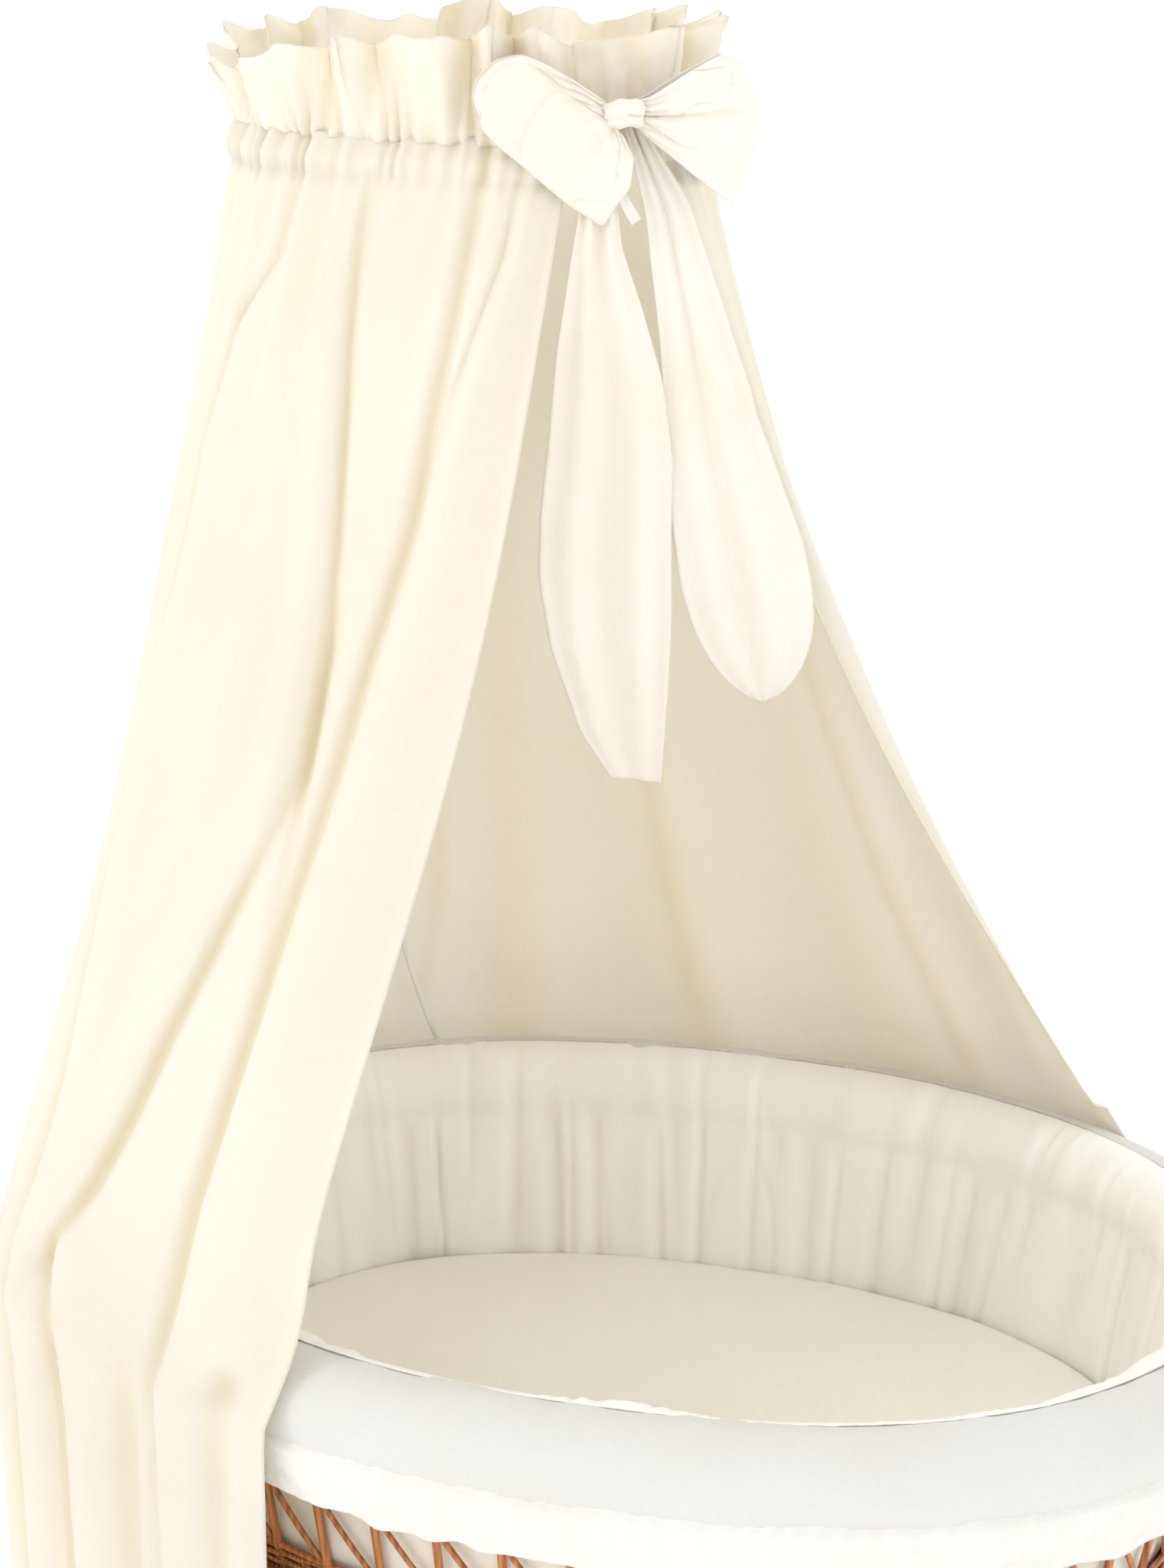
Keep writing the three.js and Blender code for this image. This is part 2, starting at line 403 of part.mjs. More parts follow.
add('long_stretcher', geometryOf(cut(
  solid(along(zCylinder(STRETCH_R - 1, 0, endX.foot - endX.head, 14), new THREE.Vector3(endX.head, 0, STRETCH_Z), new THREE.Vector3(1, 0, 0))),
  [endBar.head(STRETCH_R + GAP), endBar.foot(STRETCH_R + GAP)])), 'honey_wood');

// ---------------------------------------------------------------- casters; the wheel trails towards -X
const BRAKED = ['head_front', 'foot_front'];
const PEDAL_X = -14, PEDAL_Z = 56.5;
const yCylinder = (r, y0, y1, x, z, seg) => { const g = turned([[0, y0], [r, y0], [r, y1], [0, y1]], seg); g.rotateX(-Math.PI / 2); g.translate(x, 0, z); return g; };
const cheek = (y0, y1) => {
  const s = new THREE.Shape([[-20, 61.4], [13, 61.4], [13, 50], [-7, 20], [-11, 16.5], [-21, 16.5], [-25, 21], [-25, 30], [-20, 50]].map(([x, z]) => new THREE.Vector2(x, z)));
  const g = new THREE.ExtrudeGeometry(s, { depth: y1 - y0, bevelEnabled: false });
  g.rotateX(Math.PI / 2); g.translate(0, y1, 0);
  return g;
};
for (const [k, l] of Object.entries(legs)) {
  const braked = BRAKED.includes(k), at = [l.bot.x, l.bot.y, 0];
  const plate = new THREE.BoxGeometry(20, 27, 3.4); plate.translate(3, 0, 59.7);
  const holes = [yCylinder(AXLE_R + 0.4, -20, 20, -TRAIL, WHEEL_R, 10)];
  if (braked) holes.push(yCylinder(2.5, -20, 20, PEDAL_X, PEDAL_Z, 8));
  add(`caster_fork_${k}`, geometryOf(cut(join([cheek(-13.6, -11.2), cheek(11.2, 13.6), plate, zCylinder(STEM_R, 60, 95, 12)]), holes)), 'steel', at);
  const wheel = turned([[3.4, -WHEEL_W], [9, -WHEEL_W], [21.5, -9], [WHEEL_R, -5], [WHEEL_R, 5], [21.5, 9], [9, WHEEL_W], [3.4, WHEEL_W]], 18, true);
  wheel.rotateX(Math.PI / 2); wheel.translate(-TRAIL, 0, WHEEL_R);
  add(`caster_wheel_${k}`, clean(wheel), 'tyre', at);
  const axle = turned([[0, -15.4], [4.4, -15.4], [4.4, -14], [AXLE_R, -14], [AXLE_R, 14], [4.4, 14], [4.4, 15.4], [0, 15.4]], 10);
  axle.rotateX(Math.PI / 2); axle.translate(-TRAIL, 0, WHEEL_R);
  add(`caster_axle_${k}`, clean(axle), 'steel', at);
  if (braked) {
    const pad = new THREE.BoxGeometry(33, 20, 3.6); pad.translate(-27.5, 0, 56.6);
    add(`brake_pedal_${k}`, geometryOf(join([pad, yCylinder(2, -13.2, 13.2, PEDAL_X, PEDAL_Z, 8)])), 'grey_plastic', at);
  }
}

// The outline's centre is put over the origin.
const outline = new THREE.Box3().setFromObject(root, true);
const centre = outline.getCenter(new THREE.Vector3());
root.position.set(-centre.x, -centre.y, -outline.min.z);

export default root;
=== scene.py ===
import math
import bpy
import numpy as np
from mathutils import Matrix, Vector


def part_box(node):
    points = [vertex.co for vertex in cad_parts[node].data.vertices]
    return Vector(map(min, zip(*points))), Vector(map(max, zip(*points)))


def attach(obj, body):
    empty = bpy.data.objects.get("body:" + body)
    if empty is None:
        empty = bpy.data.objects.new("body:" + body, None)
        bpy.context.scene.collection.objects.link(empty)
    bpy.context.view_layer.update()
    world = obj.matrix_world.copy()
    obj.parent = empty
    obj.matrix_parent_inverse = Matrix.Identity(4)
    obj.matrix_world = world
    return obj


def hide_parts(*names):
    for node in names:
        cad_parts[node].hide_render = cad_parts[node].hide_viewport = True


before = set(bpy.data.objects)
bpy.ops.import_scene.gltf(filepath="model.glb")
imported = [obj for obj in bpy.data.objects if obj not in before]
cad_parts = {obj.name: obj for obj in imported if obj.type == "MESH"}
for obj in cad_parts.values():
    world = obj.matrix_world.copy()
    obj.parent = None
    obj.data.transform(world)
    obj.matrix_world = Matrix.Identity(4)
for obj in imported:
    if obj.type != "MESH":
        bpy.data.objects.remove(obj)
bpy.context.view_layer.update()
PI = math.pi

# ------------------------------------------------------------------ frame
def mid(node):
    lo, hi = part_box(node)
    return [(a + b) / 2 for a, b in zip(lo, hi)]

CX, CY = mid("rim_hoop")[:2]                 # basket centre
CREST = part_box("rim_padding")[1][2]
RX, RY, RZ = mid("canopy_ring")              # canopy ring
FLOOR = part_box("lower_weave")[0][2]
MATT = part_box("fitted_sheet")[1][2]
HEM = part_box("canopy")[0][2]
RIM_A, RIM_B, RIM_E = 0.420, 0.298, 2.2
PAD_Z = CREST - 0.037


def rim(t):
    t = np.asarray(t, float)
    c, s, q = np.cos(t), np.sin(t), 2 / RIM_E
    x = RIM_A * np.sign(c) * np.abs(c) ** q
    y = RIM_B * np.sign(s) * np.abs(s) ** q
    nx = np.sign(c) * np.abs(c) ** (2 - q) / RIM_A
    ny = np.sign(s) * np.abs(s) ** (2 - q) / RIM_B
    l = np.hypot(nx, ny)
    return x, y, nx / l, ny / l


_T = np.linspace(0, 2 * PI, 7201)
_x, _y, _, _ = rim(_T)
_ARC = np.concatenate([[0], np.cumsum(np.hypot(np.diff(_x), np.diff(_y)))])
ARC_L = float(_ARC[-1])


def t_of_s(s):
    return np.interp(np.mod(s, ARC_L), _ARC, _T)


def s_of_t(t):
    return np.interp(np.mod(t, 2 * PI), _T, _ARC)


def at_rim(t, rho, z):
    x, y, nx, ny = rim(t)
    z = np.broadcast_to(z, np.broadcast(x, rho, z).shape)
    return np.stack([CX + x + nx * rho, CY + y + ny * rho, z], -1)


def wall_rho(z):
    return -(PAD_Z - z) * 0.18


# ------------------------------------------------------------------ small noise kit (seeded, vectorised)
def noise1(x, seed, period=None):
    """Smooth 1-D value noise in -1..1."""
    x = np.asarray(x, float)
    i = np.floor(x).astype(int)
    f = x - i
    f = f * f * (3 - 2 * f)
    r = np.random.default_rng(seed).uniform(-1, 1, 4096)
    n = 4096 if period is None else period
    return r[i % n] * (1 - f) + r[(i + 1) % n] * f


def noise2(x, y, seed, px=None):
    x, y = np.broadcast_arrays(np.asarray(x, float), np.asarray(y, float))
    i, j = np.floor(x).astype(int), np.floor(y).astype(int)
    f, g = x - i, y - j
    f, g = f * f * (3 - 2 * f), g * g * (3 - 2 * g)
    r = np.random.default_rng(seed).uniform(-1, 1, (512, 512))
    n = 512 if px is None else px
    a, b = i % n, (i + 1) % n
    c, d = j % 512, (j + 1) % 512
    return (r[a, c] * (1 - f) + r[b, c] * f) * (1 - g) + (r[a, d] * (1 - f) + r[b, d] * f) * g


def fbm2(x, y, seed, px=None, octaves=3, fall=0.5):
    out, amp = 0, 1
    for k in range(octaves):
        out = out + amp * noise2(np.asarray(x) * 2 ** k, np.asarray(y) * 2 ** k, seed + k, None if px is None else px * 2 ** k)
        amp *= fall
    return out


def smooth(a, b, x):
    k = np.clip((np.asarray(x, float) - a) / (b - a), 0, 1)
    return k * k * (3 - 2 * k)


# ------------------------------------------------------------------ mesh kit
def make(name, verts, faces, uv=None, smooth_shade=True):
    me = bpy.data.meshes.new(name)
    verts = np.asarray(verts, np.float64).reshape(-1, 3)
    faces = np.asarray(faces, np.int64)
    me.vertices.add(len(verts))
    me.vertices.foreach_set("co", verts.astype(np.float32).ravel())
    k = faces.shape[1]
    me.loops.add(faces.size)
    me.loops.foreach_set("vertex_index", faces.astype(np.int32).ravel())
    me.polygons.add(len(faces))
    me.polygons.foreach_set("loop_start", np.arange(0, faces.size, k, dtype=np.int32))
    me.polygons.foreach_set("use_smooth", np.full(len(faces), smooth_shade))
    if uv is not None:
        lay = me.uv_layers.new(name="UVMap")
        lay.data.foreach_set("uv", np.asarray(uv, np.float32)[faces.ravel()].ravel())
    me.update(calc_edges=True)
    me.validate()
    ob = bpy.data.objects.new(name, me)
    bpy.context.scene.collection.objects.link(ob)
    return ob


def grid_faces(nu, nv, cu=False, cv=False, base=0):
    a = np.arange(nu if cu else nu - 1)
    b = np.arange(nv if cv else nv - 1)
    A, B = np.meshgrid(a, b, indexing="ij")
    A, B = A.ravel(), B.ravel()
    A1, B1 = (A + 1) % nu, (B + 1) % nv
    return np.stack([A * nv + B, A1 * nv + B, A1 * nv + B1, A * nv + B1], -1) + base


def grid(name, P, cu=False, cv=False, uv=None, flip=False):
    nu, nv = P.shape[:2]
    f = grid_faces(nu, nv, cu, cv)
    if flip:
        f = f[:, ::-1]
    return make(name, P.reshape(-1, 3), f, None if uv is None else np.asarray(uv).reshape(-1, 2))


def fold_shade(ob, D, width, gain, lift=1.0):
    """Stores how far each point lies below its surroundings, so that the valleys of the folds get a little painted
    shade. D is [n, m]; width counts rows.
    """
    n = D.shape[0]
    k = np.exp(-.5 * (np.arange(-3 * width, 3 * width + 1) / width) ** 2)
    k /= k.sum()
    pad = np.pad(D, ((3 * width, 3 * width), (0, 0)), mode="edge")
    mean = np.zeros_like(D)
    for i, q in enumerate(k):
        mean += q * pad[i:i + n]
    v = np.clip(lift + (D - mean) * gain, 0, 1)
    at = ob.data.attributes.new("fold", "FLOAT", "POINT")
    at.data.foreach_set("value", v.ravel().astype(np.float32))
    return ob


def thicken(ob, t, offset=0.0):
    m = ob.modifiers.new("thick", "SOLIDIFY")
    m.thickness = t
    m.offset = offset
    m.use_even_offset = False
    return ob


def bevel(ob, w, seg=2, angle=35):
    m = ob.modifiers.new("bevel", "BEVEL")
    m.width = w
    m.segments = seg
    m.limit_method = "ANGLE"
    m.angle_limit = math.radians(angle)
    return ob


def subsurf(ob, n=1):
    m = ob.modifiers.new("sub", "SUBSURF")
    m.levels = m.render_levels = n
    return ob


class Bag:
    """Collects vertices and quads of many small parts into one mesh."""
    def __init__(self):
        self.v, self.f, self.n = [], [], 0

    def add(self, verts, faces):
        verts = np.asarray(verts).reshape(-1, 3)
        self.v.append(verts)
        self.f.append(np.asarray(faces) + self.n)
        self.n += len(verts)

    def build(self, name, smooth_shade=True):
        fs = np.concatenate([np.c_[f, f[:, -1:]] if f.shape[1] == 3 else f for f in self.f])
        v = np.concatenate(self.v)
        tri = fs[:, 2] == fs[:, 3]
        me = bpy.data.meshes.new(name)
        me.from_pydata(v.tolist(), [], [tuple(q[:3]) if t else tuple(q) for q, t in zip(fs.tolist(), tri.tolist())])
        me.polygons.foreach_set("use_smooth", np.full(len(me.polygons), smooth_shade))
        me.update()
        ob = bpy.data.objects.new(name, me)
        bpy.context.scene.collection.objects.link(ob)
        return ob


def tube_arrays(path, r, sides=8, closed=False, caps=True, flat=1.0, up=None):
    """Tube along a path; r may vary along it; flat squeezes it along the second direction."""
    P = np.asarray(path, float)
    n = len(P)
    T = np.roll(P, -1, 0) - np.roll(P, 1, 0) if closed else np.gradient(P, axis=0)
    T /= np.linalg.norm(T, axis=1, keepdims=True)
    if up is None:
        a = np.array([0, 0, 1.0]) if abs(T[0][2]) < 0.9 else np.array([1.0, 0, 0])
        N = np.zeros_like(P)
        v = np.cross(T[0], a)
        for i in range(n):
            v = v - T[i] * np.dot(v, T[i])
            v /= np.linalg.norm(v)
            N[i] = v
    else:
        N = np.broadcast_to(np.asarray(up, float), P.shape).copy()
        N -= T * (N * T).sum(1, keepdims=True)
        N /= np.linalg.norm(N, axis=1, keepdims=True)
    B = np.cross(T, N)
    a = np.arange(sides) / sides * 2 * PI
    r = np.broadcast_to(np.asarray(r, float), (n,))[:, None, None]
    V = P[:, None] + r * (np.cos(a)[None, :, None] * N[:, None] * flat + np.sin(a)[None, :, None] * B[:, None])
    F = grid_faces(n, sides, closed, True)
    V = V.reshape(-1, 3)
    if not closed and caps:
        V = np.concatenate([V, P[:1], P[-1:]])
        k = np.arange(sides)
        k1 = (k + 1) % sides
        c0, c1 = n * sides, n * sides + 1
        e = (n - 1) * sides
        F = np.concatenate([F, np.stack([np.full(sides, c0), k1, k, k], -1), np.stack([np.full(sides, c1), e + k, e + k1, e + k1], -1)])
        F[-2 * sides:] = F[-2 * sides:][:, [0, 1, 2, 2]]
    return V, F


def turned_arrays(profile, seg=32, start=(0, 0, 0), direction=(0, 0, 1), ref=None):
    """Turned solid along a direction from profile [r, h]; it starts and ends on the axis, or closes on itself."""
    pr = np.asarray(profile, float)
    d = np.asarray(direction, float)
    d = d / np.linalg.norm(d)
    a = np.asarray(ref if ref is not None else ([0, 0, 1.0] if abs(d[2]) < 0.9 else [1.0, 0, 0]), float)
    x = np.cross(a, d)
    x /= np.linalg.norm(x)
    y = np.cross(d, x)
    th = np.arange(seg) / seg * 2 * PI
    ring = np.cos(th)[:, None] * x + np.sin(th)[:, None] * y
    start = np.asarray(start, float)
    on0, on1 = pr[0][0] == 0, pr[-1][0] == 0
    body = pr[1 if on0 else 0: -1 if on1 else None]
    V = (start + body[None, :, 1:2] * d + body[None, :, 0:1] * ring[:, None]).reshape(-1, 3)
    nb = len(body)
    closed = not on0 and not on1
    F = grid_faces(seg, nb, True, closed)
    k = np.arange(seg)
    k1 = (k + 1) % seg
    if on0:
        V = np.concatenate([V, [start + pr[0][1] * d]])
        F = np.concatenate([F, np.stack([np.full(seg, len(V) - 1), k1 * nb, k * nb, k * nb], -1)])
    if on1:
        V = np.concatenate([V, [start + pr[-1][1] * d]])
        F = np.concatenate([F, np.stack([np.full(seg, len(V) - 1), k * nb + nb - 1, k1 * nb + nb - 1, k1 * nb + nb - 1], -1)])
    return V, F


def turned(name, *a, **k):
    b = Bag()
    b.add(*turned_arrays(*a, **k))
    return b.build(name)


def prism(name, outline, depth, to_world, w=0.0008, seg=2):
    """Extruded outline; to_world maps [n,3] (x, y, depth) to the frame."""
    o = np.asarray(outline, float)
    n = len(o)
    V = np.concatenate([np.c_[o, np.zeros(n)], np.c_[o, np.full(n, depth)]])
    V = to_world(V)
    me = bpy.data.meshes.new(name)
    faces = [tuple(range(n))[::-1], tuple(range(n, 2 * n))] + [(i, (i + 1) % n, (i + 1) % n + n, i + n) for i in range(n)]
    me.from_pydata(V.tolist(), [], faces)
    me.update()
    ob = bpy.data.objects.new(name, me)
    bpy.context.scene.collection.objects.link(ob)
    if w:
        bevel(ob, w, seg)
    me.polygons.foreach_set("use_smooth", np.full(len(me.polygons), False))
    return ob


def join(name, obs):
    """Joins meshes without modifiers into one object."""
    deps = bpy.context.evaluated_depsgraph_get()
    v, f, n = [], [], 0
    sm = []
    for o in obs:
        ev = o.evaluated_get(deps)
        me = ev.to_mesh()
        co = np.empty(len(me.vertices) * 3)
        me.vertices.foreach_get("co", co)
        v.append(co.reshape(-1, 3))
        for p in me.polygons:
            f.append(tuple(i + n for i in p.vertices))
            sm.append(p.use_smooth)
        n += len(me.vertices)
        ev.to_mesh_clear()
    me = bpy.data.meshes.new(name)
    me.from_pydata(np.concatenate(v).tolist(), [], f)
    me.polygons.foreach_set("use_smooth", sm)
    me.update()
    ob = bpy.data.objects.new(name, me)
    bpy.context.scene.collection.objects.link(ob)
    for o in obs:
        bpy.data.objects.remove(o, do_unlink=True)
    ob.name = name
    return ob


# ------------------------------------------------------------------ materials
def lin(r, g, b):
    return tuple((c / 255) / 12.92 if c / 255 <= 0.04045 else ((c / 255 + 0.055) / 1.055) ** 2.4 for c in (r, g, b)) + (1,)


class Mat:
    def __init__(self, name, rough=0.5, metal=0.0, **sockets):
        self.m = bpy.data.materials.new(name)
        self.m.use_nodes = True
        self.t = self.m.node_tree
        self.bsdf = next(n for n in self.t.nodes if n.type == "BSDF_PRINCIPLED")
        self.bsdf.inputs["Roughness"].default_value = rough
        self.bsdf.inputs["Metallic"].default_value = metal
        for k, v in sockets.items():
            self.bsdf.inputs[k.replace("_", " ")].default_value = v
        self.height = None

    def node(self, kind, **props):
        n = self.t.nodes.new(kind)
        for k, v in props.items():
            if hasattr(n, k):
                setattr(n, k, v)
            else:
                n.inputs[k.replace("_", " ")].default_value = v
        return n

    def link(self, a, b):
        self.t.links.new(a, b)

    def coords(self, kind="Object", scale=(1, 1, 1), rot=(0, 0, 0)):
        c = self.node("ShaderNodeTexCoord")
        mp = self.node("ShaderNodeMapping")
        mp.inputs["Scale"].default_value = scale
        mp.inputs["Rotation"].default_value = rot
        self.link(c.outputs[kind], mp.inputs["Vector"])
        return mp.outputs["Vector"]

    def noise(self, vec, scale, detail=3, rough=0.5, dist=0.0):
        n = self.node("ShaderNodeTexNoise")
        n.inputs["Scale"].default_value = scale
        n.inputs["Detail"].default_value = detail
        n.inputs["Roughness"].default_value = rough
        n.inputs["Distortion"].default_value = dist
        self.link(vec, n.inputs["Vector"])
        return n.outputs["Fac"]

    def wave(self, vec, scale, direction="X", dist=0.0, detail=1, profile="SIN"):
        n = self.node("ShaderNodeTexWave")
        n.wave_type = "BANDS"
        n.bands_direction = direction
        n.wave_profile = profile
        n.inputs["Scale"].default_value = scale
        n.inputs["Distortion"].default_value = dist
        n.inputs["Detail"].default_value = detail
        self.link(vec, n.inputs["Vector"])
        return n.outputs["Fac"]

    def math(self, op, a, b=0.0, clamp=False):
        n = self.node("ShaderNodeMath")
        n.operation = op
        n.use_clamp = clamp
        for i, v in enumerate((a, b)):
            if isinstance(v, (int, float)):
                n.inputs[i].default_value = v
            else:
                self.link(v, n.inputs[i])
        return n.outputs[0]

    def ramp(self, fac, stops):
        n = self.node("ShaderNodeValToRGB")
        e = n.color_ramp.elements
        while len(e) < len(stops):
            e.new(0.5)
        for el, (p, c) in zip(e, stops):
            el.position = p
            el.color = c
        self.link(fac, n.inputs["Fac"])
        return n.outputs["Color"]

    def mix(self, fac, a, b, blend="MIX"):
        n = self.node("ShaderNodeMix", data_type="RGBA")
        n.blend_type = blend
        for sock, v in ((n.inputs[0], fac), (n.inputs[6], a), (n.inputs[7], b)):
            if isinstance(v, (int, float, tuple)):
                sock.default_value = v
            else:
                self.link(v, sock)
        return n.outputs[2]

    def range(self, v, lo, hi, a=0.0, b=1.0):
        n = self.node("ShaderNodeMapRange")
        for k, x in (("From Min", lo), ("From Max", hi), ("To Min", a), ("To Max", b)):
            n.inputs[k].default_value = x
        self.link(v, n.inputs["Value"])
        return n.outputs["Result"]

    def color(self, sock):
        self.link(sock, self.bsdf.inputs["Base Color"])

    def rough(self, sock):
        self.link(sock, self.bsdf.inputs["Roughness"])

    def bump(self, height, dist, strength=1.0):
        n = self.node("ShaderNodeBump")
        n.inputs["Distance"].default_value = dist
        n.inputs["Strength"].default_value = strength
        self.link(height, n.inputs["Height"])
        if self.height is not None:
            self.link(self.height, n.inputs["Normal"])
        self.height = n.outputs["Normal"]
        self.link(self.height, self.bsdf.inputs["Normal"])


def cotton(name, base, shade, weave=0.0008, depth=0.00012, crease=0.0006, cscale=38, sheen=0.25, rough=0.88, slub=0.5, through=0.0, fold=None):
    """Woven cotton: warp and weft threads with slubs, soft creases and faint mottling. Works from UVs in metres."""
    m = Mat(name, rough, Sheen_Weight=sheen, Sheen_Roughness=0.5, Specular_IOR_Level=0.25)
    uv = m.coords("UV")
    k = 0.314 / weave
    warp = m.wave(uv, k, "X", 0.6, 1)
    weft = m.wave(uv, k * 1.08, "Y", 0.6, 1)
    threads = m.math("MULTIPLY", warp, weft)
    su = m.noise(m.coords("UV", (14, 900, 1)), 1.0, 3)
    sv = m.noise(m.coords("UV", (900, 14, 1)), 1.0, 3)
    slubs = m.math("ADD", su, sv)
    obj = m.coords("Object")
    mott = m.noise(obj, 5.0, 3)
    fine = m.noise(obj, 420, 2)
    col = m.mix(m.range(mott, 0.35, 0.7), base, shade)
    col = m.mix(m.range(slubs, 0.75, 1.3, 0.0, 0.11 * slub), col, tuple(c * 0.80 for c in shade[:3]) + (1,))
    col = m.mix(m.range(fine, 0.3, 0.8, 0, 0.05), col, tuple(c * 0.82 for c in shade[:3]) + (1,))
    # painted shade: the fold colour is mixed in where the 'fold' attribute is low, in the valleys of the folds; a part
    # without that attribute takes the fold colour all over
    if fold:
        at = m.node("ShaderNodeAttribute")
        at.attribute_name = "fold"
        col = m.mix(m.range(at.outputs["Fac"], 0.0, 1.0), fold, col)
    m.color(col)
    m.rough(m.range(mott, 0.3, 0.7, rough - 0.05, min(1.0, rough + 0.05)))
    m.bump(m.noise(obj, cscale, 4, 0.55, 0.4), crease)
    m.bump(slubs, depth * 1.2)
    m.bump(threads, depth)
    if through:
        tr = m.node("ShaderNodeBsdfTranslucent")
        m.link(col, tr.inputs["Color"])
        m.link(m.height, tr.inputs["Normal"])
        mx = m.node("ShaderNodeMixShader")
        mx.inputs[0].default_value = through
        m.link(m.bsdf.outputs[0], mx.inputs[1])
        m.link(tr.outputs[0], mx.inputs[2])
        out = next(n for n in m.t.nodes if n.type == "OUTPUT_MATERIAL")
        m.link(mx.outputs[0], out.inputs["Surface"])
    return m.m


def wood(name, light, dark, axis="Z", scale=1.0, rough=0.42, coat=0.25, pores=True):
    m = Mat(name, rough, Coat_Weight=coat, Coat_Roughness=0.25)
    s = {"X": (1.6, 26, 26), "Y": (26, 1.6, 26), "Z": (26, 26, 1.6)}[axis]
    v = m.coords("Object", tuple(c * scale for c in s))
    g = m.noise(v, 1.0, 5, 0.6, 1.4)
    rings = m.wave(v, 1.3, {"X": "Y", "Y": "X", "Z": "X"}[axis], 5.0, 3)
    f = m.math("ADD", m.math("MULTIPLY", g, 0.65), m.math("MULTIPLY", rings, 0.35))
    mid_c = tuple((a + b) / 2 for a, b in zip(light, dark))
    col = m.ramp(f, [(0.28, dark), (0.48, mid_c), (0.72, light)])
    fib = m.noise(m.coords("Object", tuple(c * scale * (9 if c > 5 else 4) for c in s)), 1.0, 2)
    col = m.mix(m.range(fib, 0.42, 0.62, 0.0, 0.28), col, tuple(c * 0.55 for c in dark[:3]) + (1,))
    m.color(col)
    m.rough(m.range(fib, 0.3, 0.7, rough - 0.07, rough + 0.1))
    m.bump(f, 0.00025)
    if pores:
        m.bump(fib, 0.00018)
    return m.m


def painted(name, base, rough=0.34, peel=0.00006, metal=0.0):
    m = Mat(name, rough, metal, Coat_Weight=0.15)
    o = m.coords("Object")
    n = m.noise(o, 900, 2)
    w = m.noise(o, 14, 4)
    m.color(m.mix(m.range(w, 0.35, 0.75, 0, 0.25), base, tuple(c * 0.86 for c in base[:3]) + (1,)))
    m.rough(m.range(w, 0.3, 0.7, rough - 0.05, rough + 0.09))
    m.bump(n, peel)
    return m.m


def steel(name, base=(0.56, 0.57, 0.58, 1), rough=0.3):
    m = Mat(name, rough, 1.0)
    o = m.coords("Object", (1, 1, 22))
    n = m.noise(o, 90, 4)
    w = m.noise(m.coords("Object"), 40, 4)
    m.color(m.mix(m.range(w, 0.4, 0.7), base, tuple(c * 0.72 for c in base[:3]) + (1,)))
    m.rough(m.range(n, 0.3, 0.7, rough - 0.08, rough + 0.12))
    m.bump(n, 0.00003)
    return m.m


def plastic(name, base, rough=0.5, grain=0.00008):
    m = Mat(name, rough)
    o = m.coords("Object")
    n = m.noise(o, 1300, 2)
    w = m.noise(o, 30, 3)
    m.color(m.mix(m.range(w, 0.4, 0.7, 0, 0.5), base, tuple(c * 0.84 for c in base[:3]) + (1,)))
    m.rough(m.range(w, 0.3, 0.7, rough - 0.06, rough + 0.08))
    m.bump(n, grain)
    return m.m


# fold= gives the colour of the painted shade in the fold valleys of canopy, ruffle and bumper
CANOPY_MAT = cotton("canopy_voile", lin(255, 252, 243), lin(253, 249, 237), weave=0.0007, crease=0.0005, cscale=26, sheen=0.15, through=0.40, fold=lin(247, 239, 214))
RUFFLE_MAT = cotton("ruffle_voile", lin(255, 252, 242), lin(253, 248, 235), weave=0.0007, crease=0.0005, cscale=45, sheen=0.15, through=0.36, fold=lin(246, 237, 210))
BOW_MAT = cotton("bow_cotton", lin(246, 241, 232), lin(242, 234, 219), weave=0.0006, crease=0.0009, cscale=55, sheen=0.3)
ROLL_MAT = cotton("roll_cotton", lin(222, 221, 217), lin(217, 214, 205), weave=0.0008, crease=0.0007, cscale=30)
BUMPER_MAT = cotton("bumper_cotton", lin(254, 252, 249), lin(251, 248, 239), weave=0.0008, crease=0.0010, cscale=48, fold=lin(236, 230, 213))
VALANCE_MAT = cotton("valance_cotton", lin(234, 232, 227), lin(228, 226, 218), weave=0.0008, crease=0.0012, cscale=60)
SHEET_MAT = cotton("sheet_jersey", lin(251, 248, 239), lin(248, 244, 233), weave=0.0009, crease=0.0005, cscale=22, slub=0.8)
TICK_MAT = cotton("mattress_ticking", lin(246, 244, 238), lin(236, 232, 222), weave=0.0011, crease=0.0006, cscale=40)
RATTAN = wood("rattan_cane", lin(206, 130, 66), lin(150, 84, 36), "Z", 1.5, 0.46, 0.2)
WICKER = wood("wicker_strand", lin(204, 140, 78), lin(142, 88, 44), "Z", 2.4, 0.6, 0.08)
HONEY_Z = wood("honey_beech_z", lin(212, 146, 84), lin(166, 100, 50), "Z", 1.0)
HONEY_X = wood("honey_beech_x", lin(212, 146, 84), lin(166, 100, 50), "X", 1.0)
HONEY_Y = wood("honey_beech_y", lin(212, 146, 84), lin(166, 100, 50), "Y", 1.0)
BOARD = wood("board_ply", lin(224, 190, 140), lin(190, 150, 100), "X", 0.8, 0.62, 0.0)
WHITE_METAL = painted("white_powder_coat", lin(240, 239, 234))
STEEL = steel("zinc_steel")
GREY = plastic("grey_knob_plastic", lin(150, 152, 155))
TYRE = plastic("grey_rubber_tyre", lin(62, 63, 66), 0.72, 0.00015)
HUB = plastic("caster_hub_plastic", lin(176, 178, 180), 0.42)


def dress(ob, mat):
    ob.data.materials.clear()
    ob.data.materials.append(mat)
    return ob


def place(ob, mat, body, *nodes, slot=None):
    dress(ob, mat)
    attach(ob, body)
    if nodes:
        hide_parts(*nodes)
    return ob

# ------------------------------------------------------------------ canopy
T0, T1 = 247.0, 46.7
DRAPE = np.array([[46.7, 46], [75, 62], [100, 76], [125, 82], [150, 96], [180, 110], [205, 92], [228, 58], [247, 46]])
NECK_A, NECK_B, NECK_Z, DRAPE_Z = 0.172, 0.112, 1.556, 0.745


